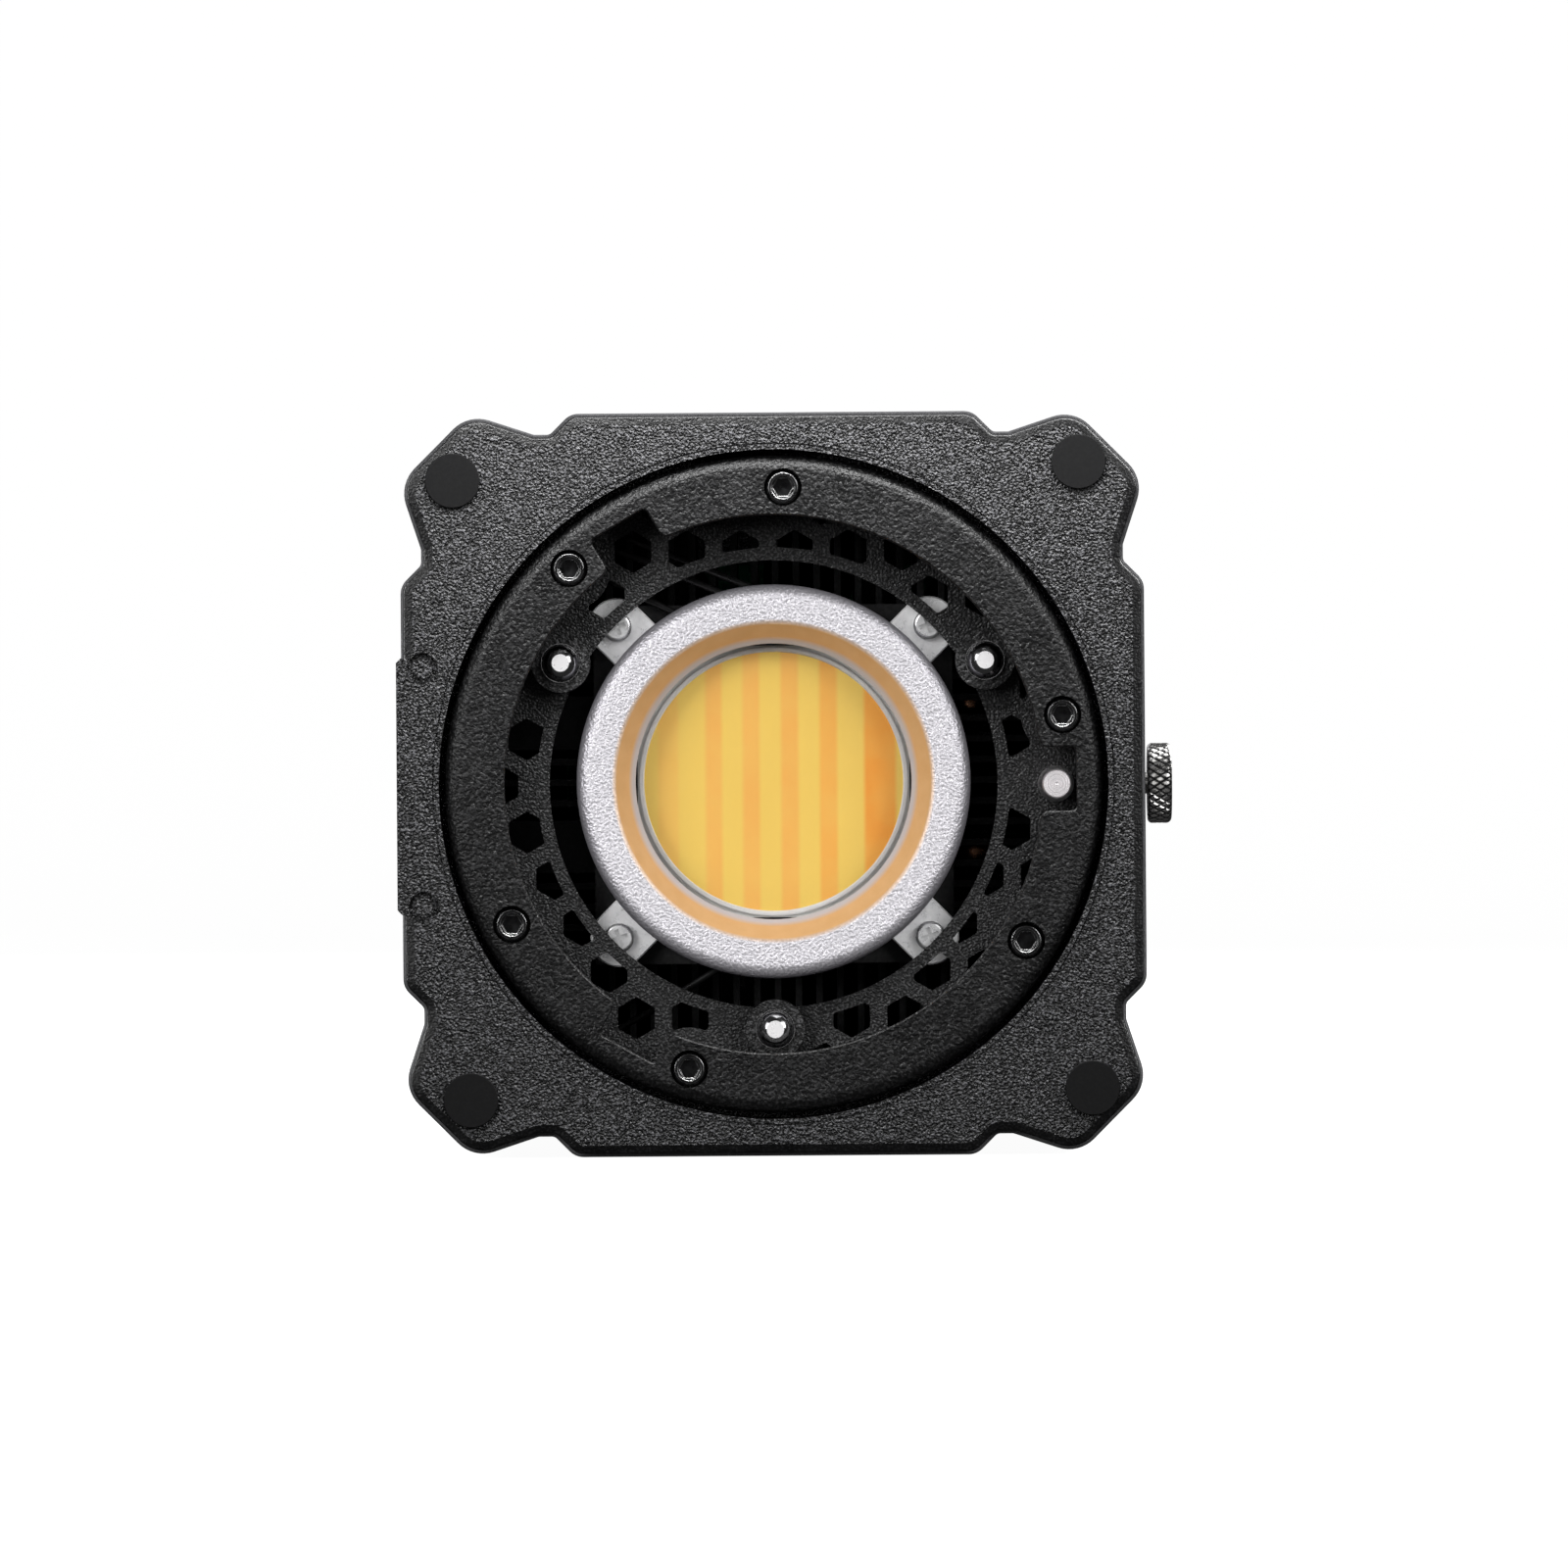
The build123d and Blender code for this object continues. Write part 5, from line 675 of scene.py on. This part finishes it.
def key_symbol(s, node):
    """Three bars for the menu, a ring with a dot for the mode, and four blades for the fan."""
    centre = middle(node)
    if node == "menu_button":
        rows = [above(node, height) for height in MENU_ROWS]
        return s.any_of([s.patch(row, MENU_ROW_HALF, SYMBOL_LINE_HALF) for row in rows])
    if node == "mode_button":
        ring = s.circle(centre, MODE_RING_RADIUS, SYMBOL_LINE_HALF)
        return s.any_of([ring, s.circle(centre, 0.0, MODE_DOT_RADIUS)])
    upright = s.patch(centre, BLADE_HALF_WIDTH, BLADE_LENGTH)
    blades = s.any_of([upright, s.patch(centre, BLADE_LENGTH, BLADE_HALF_WIDTH)])
    return s.any_of([blades, s.circle(centre, 0.0, HUB_RADIUS)])


def marked_key(node):
    """A soft dark-grey key with a matt, dusty face and a plain white symbol."""
    s = Surface(node + "_finish", roughness=0.6)
    edge = s.soften(0.2 * MM)
    dust = s.noise(0.6 * MM, detail=4, roughness=0.6)
    tone = s.blend(s.remap(dust, 0.35, 0.7), (0.06, 0.06, 0.062), (0.085, 0.085, 0.088))
    s.bump(s.noise(0.22 * MM), 0.015 * MM)
    symbol = back_only(s, node, key_symbol(s, node))
    print_white(s, symbol, s.blend(edge, tone, (0.13, 0.13, 0.134)))
    return s.material


ROCKER_MARK_HEIGHT = 3.6 * MM
ROCKER_BAR_HALF_WIDTH = 0.22 * MM
ROCKER_BAR_HALF_LENGTH = 1.2 * MM
ROCKER_RING_RADIUS = 1.2 * MM
ROCKER_RING_HALF = 0.2 * MM


def marked_rocker(node):
    """The glossy black rocker, with a bar and a ring for on and off."""
    s = Surface(node + "_finish")
    s.soften(0.2 * MM)
    s.roughen(s.noise(3 * MM, detail=4), 0.2, 0.36)
    top, bottom = above(node, ROCKER_MARK_HEIGHT), above(node, -ROCKER_MARK_HEIGHT)
    bar = s.patch(top, ROCKER_BAR_HALF_WIDTH, ROCKER_BAR_HALF_LENGTH)
    ring = s.circle(bottom, ROCKER_RING_RADIUS, ROCKER_RING_HALF)
    print_white(s, s.any_of([bar, ring]), (0.014, 0.014, 0.015))
    return s.material


# The pins' places from the inlet's middle, and their half sizes with a hair over for their sides.
INLET_PINS = [(0.0, 2.0 * MM), (-7.0 * MM, -2.0 * MM), (7.0 * MM, -2.0 * MM)]
PIN_HALF_WIDTH = 1.04 * MM
PIN_HALF_HEIGHT = 2.04 * MM


def inlet_with_pins(node):
    """The hard black plastic of the mains inlet, with three nickel-plated pins."""
    s = Surface(node + "_finish")
    s.soften(0.2 * MM)
    centre = middle(node)
    spots = [centre + Vector((x, 0, z)) for x, z in INLET_PINS]
    pins = s.any_of([s.patch(spot, PIN_HALF_WIDTH, PIN_HALF_HEIGHT) for spot in spots])
    smear = s.noise(3 * MM, detail=4)
    s.paint(pins, (0.014, 0.014, 0.015), (0.72, 0.68, 0.58))
    s.set("Metallic", pins)
    s.roughen(smear, 0.22, 0.4)
    return s.material


@material
def socket_black():
    """Hard, glossy black plastic of the power switch's frame."""
    s = Surface("socket_black", base_color=(0.014, 0.014, 0.015))
    s.soften(0.2 * MM)
    s.roughen(s.noise(3 * MM, detail=4), 0.24, 0.42)
    s.bump(s.noise(0.5 * MM), 0.006 * MM)
    return s


@material
def smoked_window():
    """A dark tinted window over the display."""
    s = Surface("smoked_window", base_color=(0.01, 0.011, 0.014), alpha=0.45)
    s.set("Roughness", s.remap(s.noise(6 * MM, detail=3), 0.4, 0.7, 0.04, 0.12))
    return s


@material
def display_face():
    """The display's dark blue-black glass, with a faint dot grid."""
    s = Surface("display_face", roughness=0.25)
    grid = s.cells(0.5 * MM)
    s.paint(s.remap(grid, 0.2, 0.5), (0.008, 0.011, 0.018), (0.004, 0.005, 0.008))
    return s


@material
def circuit_green():
    """Dark green solder mask with slightly raised tracks."""
    s = Surface("circuit_green", roughness=0.35)
    track = s.remap(s.cells(2.2 * MM, distance="CHEBYCHEV"), 0.36, 0.4)
    s.paint(track, (0.004, 0.035, 0.016), (0.012, 0.075, 0.034))
    s.bump(track, 0.035 * MM)
    return s


@material
def turned_brass():
    """Turned brass with fine rings and slight tarnish."""
    s = Surface("turned_brass", metallic=1.0)
    tarnish = s.noise(1.5 * MM, detail=4)
    s.paint(s.remap(tarnish, 0.35, 0.7), (0.76, 0.58, 0.3), (0.52, 0.37, 0.17))
    s.roughen(tarnish, 0.2, 0.38)
    s.bump(s.noise(1.0, place=s.stretched((400, 400, 6000))), 0.01 * MM)
    return s


@material
def natural_nylon():
    """Off-white nylon of the lead plugs."""
    s = Surface("natural_nylon", roughness=0.4, subsurface_weight=0.1)
    s.paint(s.noise(2 * MM, detail=3), (0.54, 0.52, 0.44), (0.66, 0.64, 0.57))
    s.bump(s.noise(0.4 * MM), 0.01 * MM)
    return s


FINISHES = {
    cover_grain: ["front_cover", "rear_cover"],
    ring_coat: ["mount_ring"],
    plate_coat: ["honeycomb_plate", "plunger_caps"],
    shell_anodised: ["housing_shell"],
    side_plate_metal: ["side_plate", "stand_plate"],
    black_oxide: [
        "front_cover_screws",
        "side_plate_screws",
        "mount_ring_screws",
        "heat_sink_screws",
        "stand_plate_screws",
        "rear_cover_screws",
    ],
    turned_pin: ["lock_pin"],
    polished_steel: ["plunger_pin_1", "plunger_pin_2", "plunger_pin_3", "lock_rods"],
    knurled_chrome: ["release_knob"],
    spring_wire: ["plunger_spring_1", "plunger_spring_2", "plunger_spring_3", "lock_springs"],
    black_rubber: ["rubber_pads", "glass_seal"],
    blasted_silver: ["led_bezel"],
    bright_plate: ["led_retainer"],
    zinc_plate: [
        "led_retainer_screws",
        "lock_carriage",
        "bulkhead",
        "fan_screws",
        "board_screws",
    ],
    coated_glass: ["led_glass"],
    phosphor_bands: ["led_phosphor"],
    white_silicone: ["led_dam"],
    white_mask: ["led_board"],
    black_anodised: ["heat_sink"],
    dull_copper: ["heat_pipes"],
    lead_silicone: ["led_leads"],
    natural_nylon: ["lead_plugs"],
    moulded_black: ["fan_frame", "fan_rotor", "rear_panel"],
    turned_brass: ["stand_bush", "board_standoffs"],
    circuit_green: ["power_board", "driver_board", "control_board"],
    smoked_window: ["display_window"],
    display_face: ["display_module"],
    socket_black: ["switch_frame"],
}

MARKED = {
    "brightness_dial": pointer_dial,
    "colour_dial": pointer_dial,
    "menu_button": marked_key,
    "mode_button": marked_key,
    "fan_button": marked_key,
    "switch_rocker": marked_rocker,
    "power_inlet": inlet_with_pins,
}

for finish, names in FINISHES.items():
    for name in names:
        for slot in NODES[name].material_slots:
            slot.material = finish()

for name, finish in MARKED.items():
    made = finish(name)
    for slot in NODES[name].material_slots:
        slot.material = made

# ---------------------------------------------------------------- springs


def shortening_springs():
    """Copies of the CAD springs in spring wire, hung on their joints' parents in place of the
    hidden CAD springs.
    """
    for joint in frame["joints"]:
        for spring in joint.get("deforming_nodes", []):
            node = spring["node"]
            coil = bpy.data.objects.new(node + "_coil", NODES[node].data.copy())
            coil.data.materials.clear()
            coil.data.materials.append(spring_wire())
            scene.collection.objects.link(coil)
            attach(coil, joint["parent"])
            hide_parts(node)
            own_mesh(coil)


shortening_springs()

# ---------------------------------------------------------------- printed and lit marks


@material
def white_print():
    """White ink, slightly worn."""
    s = Surface("white_print", roughness=0.55)
    s.paint(s.noise(0.4 * MM, detail=4), (0.45, 0.45, 0.45), (0.75, 0.75, 0.75))
    return s


SEGMENT_GLOW = 1.6


@material
def lit_segments():
    """The glowing segments of the display, a little uneven."""
    s = Surface("lit_segments", base_color=(0.3, 0.6, 0.7), roughness=0.4)
    s.set("Emission Color", s.blend(s.noise(0.8 * MM), (0.3, 0.75, 0.95), (0.5, 0.9, 1.0)))
    s.set("Emission Strength", SEGMENT_GLOW)
    return s


MARK_THICKNESS = 0.05 * MM


def flat_marks(name, outlines, base, finish):
    """One piece of flat marks on the rear of a node; each outline is a list of (x, z)."""
    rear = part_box(base)[1].y
    mesh = bmesh.new()
    for outline in outlines:
        lower = [mesh.verts.new((x, rear, z)) for x, z in outline]
        upper = [mesh.verts.new((x, rear + MARK_THICKNESS, z)) for x, z in outline]
        mesh.faces.new(lower)
        mesh.faces.new(upper)
        for index, corner in enumerate(lower):
            after = (index + 1) % len(lower)
            mesh.faces.new((corner, lower[after], upper[after], upper[index]))
    bmesh.ops.recalc_face_normals(mesh, faces=mesh.faces)
    data = bpy.data.meshes.new(name)
    mesh.to_mesh(data)
    mesh.free()
    data.materials.append(finish())
    piece = bpy.data.objects.new(name, data)
    scene.collection.objects.link(piece)
    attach(piece, "housing")


# The segments that each digit lights, in the order of the places in digit(): top, upper left,
# upper right, middle, lower left, lower right and bottom.
DIGIT_SEGMENTS = {"0": "1110111", "1": "0010010", "5": "1101011", "6": "1101111"}
DIGIT_WIDTH = 4.2 * MM
DIGIT_HEIGHT_SHARE = 1.9
DIGIT_PITCH_SHARE = 1.45
SEGMENT_HALF = 0.38 * MM
SEGMENT_GAP = 0.12 * MM


def segment(start, end):
    """A six-sided bar with pointed ends between two (x, z) points."""
    a, b = Vector(start), Vector(end)
    along = (b - a).normalized()
    side = Vector((-along.y, along.x)) * SEGMENT_HALF
    a += along * SEGMENT_GAP
    b -= along * SEGMENT_GAP
    tip = along * SEGMENT_HALF
    points = [a, a + tip + side, b - tip + side, b, b - tip - side, a + tip - side]
    return [(point.x, point.y) for point in points]


def digit(text, left, low, width):
    """The lit segments of one digit, read from the rear, where +X is to the left."""
    height = width * DIGIT_HEIGHT_SHARE
    rows = [low + height, low + height / 2, low]
    columns = [left, left - width]
    places = [
        ((columns[0], rows[0]), (columns[1], rows[0])),
        ((columns[0], rows[1]), (columns[0], rows[0])),
        ((columns[1], rows[1]), (columns[1], rows[0])),
        ((columns[0], rows[1]), (columns[1], rows[1])),
        ((columns[0], rows[2]), (columns[0], rows[1])),
        ((columns[1], rows[2]), (columns[1], rows[1])),
        ((columns[0], rows[2]), (columns[1], rows[2])),
    ]
    lit = DIGIT_SEGMENTS[text]
    return [segment(*place) for place, on in zip(places, lit) if on == "1"]


def number(text, left, low, width):
    """The lit segments of a whole number."""
    outlines = []
    for index, character in enumerate(text):
        outlines += digit(character, left - index * width * DIGIT_PITCH_SHARE, low, width)
    return outlines


# Each number with its left edge from the window's middle, its digits' width and how many cells
# of the bar under it are lit.
READOUTS = [
    ("100", 19.0 * MM, DIGIT_WIDTH, 10),
    ("5600", -2.5 * MM, 0.78 * DIGIT_WIDTH, 6),
]
DIGITS_DOWN = 1.0 * MM
BAR_DOWN = 6.5 * MM
BAR_CELLS = 10
CELL_PITCH = 1.62 * MM
CELL_WIDTH = 1.1 * MM
LIT_HEIGHT = 0.9 * MM
UNLIT_HEIGHT = 0.25 * MM


def level_bar(left, low, lit):
    """A row of cells, of which the lit ones are tall, read from the rear."""
    outlines = []
    for cell in range(BAR_CELLS):
        start = left - cell * CELL_PITCH
        end = start - CELL_WIDTH
        top = low + (LIT_HEIGHT if cell < lit else UNLIT_HEIGHT)
        outlines.append([(start, low), (end, low), (end, top), (start, top)])
    return outlines


def display_marks():
    """Brightness and colour numbers with a level bar under each."""
    centre = middle("display_window")
    outlines = []
    for text, left, width, _ in READOUTS:
        outlines += number(text, centre.x + left, centre.z - DIGITS_DOWN, width)
    for _, left, _, lit in READOUTS:
        outlines += level_bar(centre.x + left, centre.z - BAR_DOWN, lit)
    flat_marks("display_digits", outlines, "display_module", lit_segments)


TICKS = 11
TICK_SWEEP = math.radians(300)
TICK_GAP = 1.3 * MM
TICK_LENGTH = 1.2 * MM
TICK_HALF = 0.16 * MM
LONG_TICKS = (0, TICKS // 2, TICKS - 1)
LONG_TICK_SHARE = 1.5


def dial_scales():
    """Radial ticks on the panel round each dial."""
    outlines = []
    for name in ("brightness_dial", "colour_dial"):
        centre = middle(name)
        inner = half_width(name) + TICK_GAP
        for tick in range(TICKS):
            turn = TICK_SWEEP * (tick / (TICKS - 1) - 0.5)
            out = Vector((math.sin(turn), math.cos(turn)))
            side = Vector((out.y, -out.x)) * TICK_HALF
            start = Vector((centre.x, centre.z)) + out * inner
            end = start + out * TICK_LENGTH * (LONG_TICK_SHARE if tick in LONG_TICKS else 1.0)
            corners = [start - side, start + side, end + side, end - side]
            outlines.append([(corner.x, corner.y) for corner in corners])
    flat_marks("dial_scales", outlines, "rear_panel", white_print)


display_marks()
dial_scales()

# ---------------------------------------------------------------- stage and lights

BACKDROP_GLOW = 0.96


def backdrop_white():
    """A pale backdrop that glows by itself, so that shadows on it stay faint."""
    s = Surface("backdrop_white", base_color=(0.3, 0.3, 0.3), roughness=1.0, specular_ior_level=0.0)
    s.set("Emission Color", (1, 1, 1))
    s.set("Emission Strength", BACKDROP_GLOW)
    return s.material


FLOOR_DROP = 0.1 * MM
# How far from the middle the flat floor's rings lie; at the last one it bends up into the wall.
FLOOR_RINGS = (0.02, 0.5, 3.0)
FLOOR_BEND = 1.0
WALL_TOP = 5.0
BEND_STEPS = 12
ROUND_STEPS = 96


def round_stage():
    """A round floor that curves up into a wall on all sides."""
    profile = [(reach, 0.0) for reach in FLOOR_RINGS]
    for step in range(1, BEND_STEPS + 1):
        turn = math.radians(90) * step / BEND_STEPS
        reach = FLOOR_RINGS[-1] + FLOOR_BEND * math.sin(turn)
        profile.append((reach, FLOOR_BEND * (1 - math.cos(turn))))
    profile.append((FLOOR_RINGS[-1] + FLOOR_BEND, WALL_TOP))
    mesh = bmesh.new()
    circles = []
    for reach, height in profile:
        circle = []
        for step in range(ROUND_STEPS):
            turn = 2 * math.pi * step / ROUND_STEPS
            circle.append(mesh.verts.new((reach * math.cos(turn), reach * math.sin(turn), height)))
        circles.append(circle)
    mesh.faces.new(circles[0])
    for inner, outer in zip(circles, circles[1:]):
        for step in range(ROUND_STEPS):
            after = (step + 1) % ROUND_STEPS
            mesh.faces.new((inner[step], outer[step], outer[after], inner[after]))
    for face in mesh.faces:
        face.smooth = True
    data = bpy.data.meshes.new("floor")
    mesh.to_mesh(data)
    mesh.free()
    floor = bpy.data.objects.new("floor", data)
    floor.location.z = -FLOOR_DROP
    floor.visible_glossy = False
    floor.visible_diffuse = False
    data.materials.append(backdrop_white())
    scene.collection.objects.link(floor)


def soft_light(name, at, towards, width, height, power):
    """A soft box that lights and reflects, but doesn't show in the picture itself."""
    data = bpy.data.lights.new(name, "AREA")
    data.shape = "RECTANGLE"
    data.size = width
    data.size_y = height
    data.energy = power
    light = bpy.data.objects.new(name, data)
    light.location = at
    aim = Vector(towards) - Vector(at)
    light.rotation_euler = aim.to_track_quat("-Z", "Y").to_euler()
    light.visible_camera = False
    scene.collection.objects.link(light)
    return light


def only_on(light, names):
    """Keeps a light to some CAD nodes, as a screen in a studio would."""
    receivers = bpy.data.collections.new(light.name + "_receivers")
    for name in names:
        receivers.objects.link(NODES[name])
    light.light_linking.receiver_collection = receivers


WORLD_STRENGTH = 0.04

FRONT_AIM = (0, -0.1, 0.07)
MIDDLE_AIM = (0, 0, 0.07)
REAR_AIM = (0, 0.1, 0.07)
TOP_EDGE_AIM = (0, -0.1, 0.09)

# Each soft box: its name, place, aim, width, height and watts.
OPEN_BOXES = [
    ("left_box", (-1.5, -1.7, 0.7), FRONT_AIM, 1.0, 1.2, 19.0),
    ("right_box", (1.6, -1.6, 0.9), FRONT_AIM, 1.0, 1.2, 20.0),
    ("overhead", (0.1, 0.1, 1.6), MIDDLE_AIM, 1.4, 1.2, 11.0),
    ("rear_box", (1.1, 1.7, 0.9), REAR_AIM, 1.0, 1.0, 45.0),
    ("rear_fill", (-1.5, 1.3, 0.5), REAR_AIM, 1.0, 1.0, 20.0),
]

# A narrow strip just above the top edge brings out the grain of the black front parts.
TOP_STRIP = [("top_strip", (0.02, -0.17, 0.225), TOP_EDGE_AIM, 0.3, 0.04, 0.85)]
DARK_FRONT = [
    "front_cover",
    "rubber_pads",
    "mount_ring",
    "mount_ring_screws",
    "honeycomb_plate",
    "plunger_caps",
]

# The LED and the bright metal round it are lit evenly, and have boxes of their own to reflect.
BRIGHT_BOXES = [
    ("bright_left", (-1.3, -2.3, 0.7), FRONT_AIM, 1.2, 1.2, 20.0),
    ("bright_right", (1.3, -2.3, 0.7), FRONT_AIM, 1.2, 1.2, 14.0),
    ("bright_front", (0.2, -3.2, 0.5), FRONT_AIM, 1.8, 1.8, 8.0),
]
BRIGHT_FRONT = [
    "led_bezel",
    "led_phosphor",
    "led_dam",
    "led_board",
    "led_retainer",
    "led_retainer_screws",
    "glass_seal",
    "lock_pin",
    "plunger_pin_1",
    "plunger_pin_2",
    "plunger_pin_3",
    "release_knob",
]

round_stage()

world = bpy.data.worlds.new("world")
world.use_nodes = True
background = world.node_tree.nodes["Background"]
background.inputs["Color"].default_value = (1, 1, 1, 1)
background.inputs["Strength"].default_value = WORLD_STRENGTH
scene.world = world

for box in OPEN_BOXES:
    soft_light(*box)
for boxes, lit_nodes in ((TOP_STRIP, DARK_FRONT), (BRIGHT_BOXES, BRIGHT_FRONT)):
    for box in boxes:
        only_on(soft_light(*box), lit_nodes)
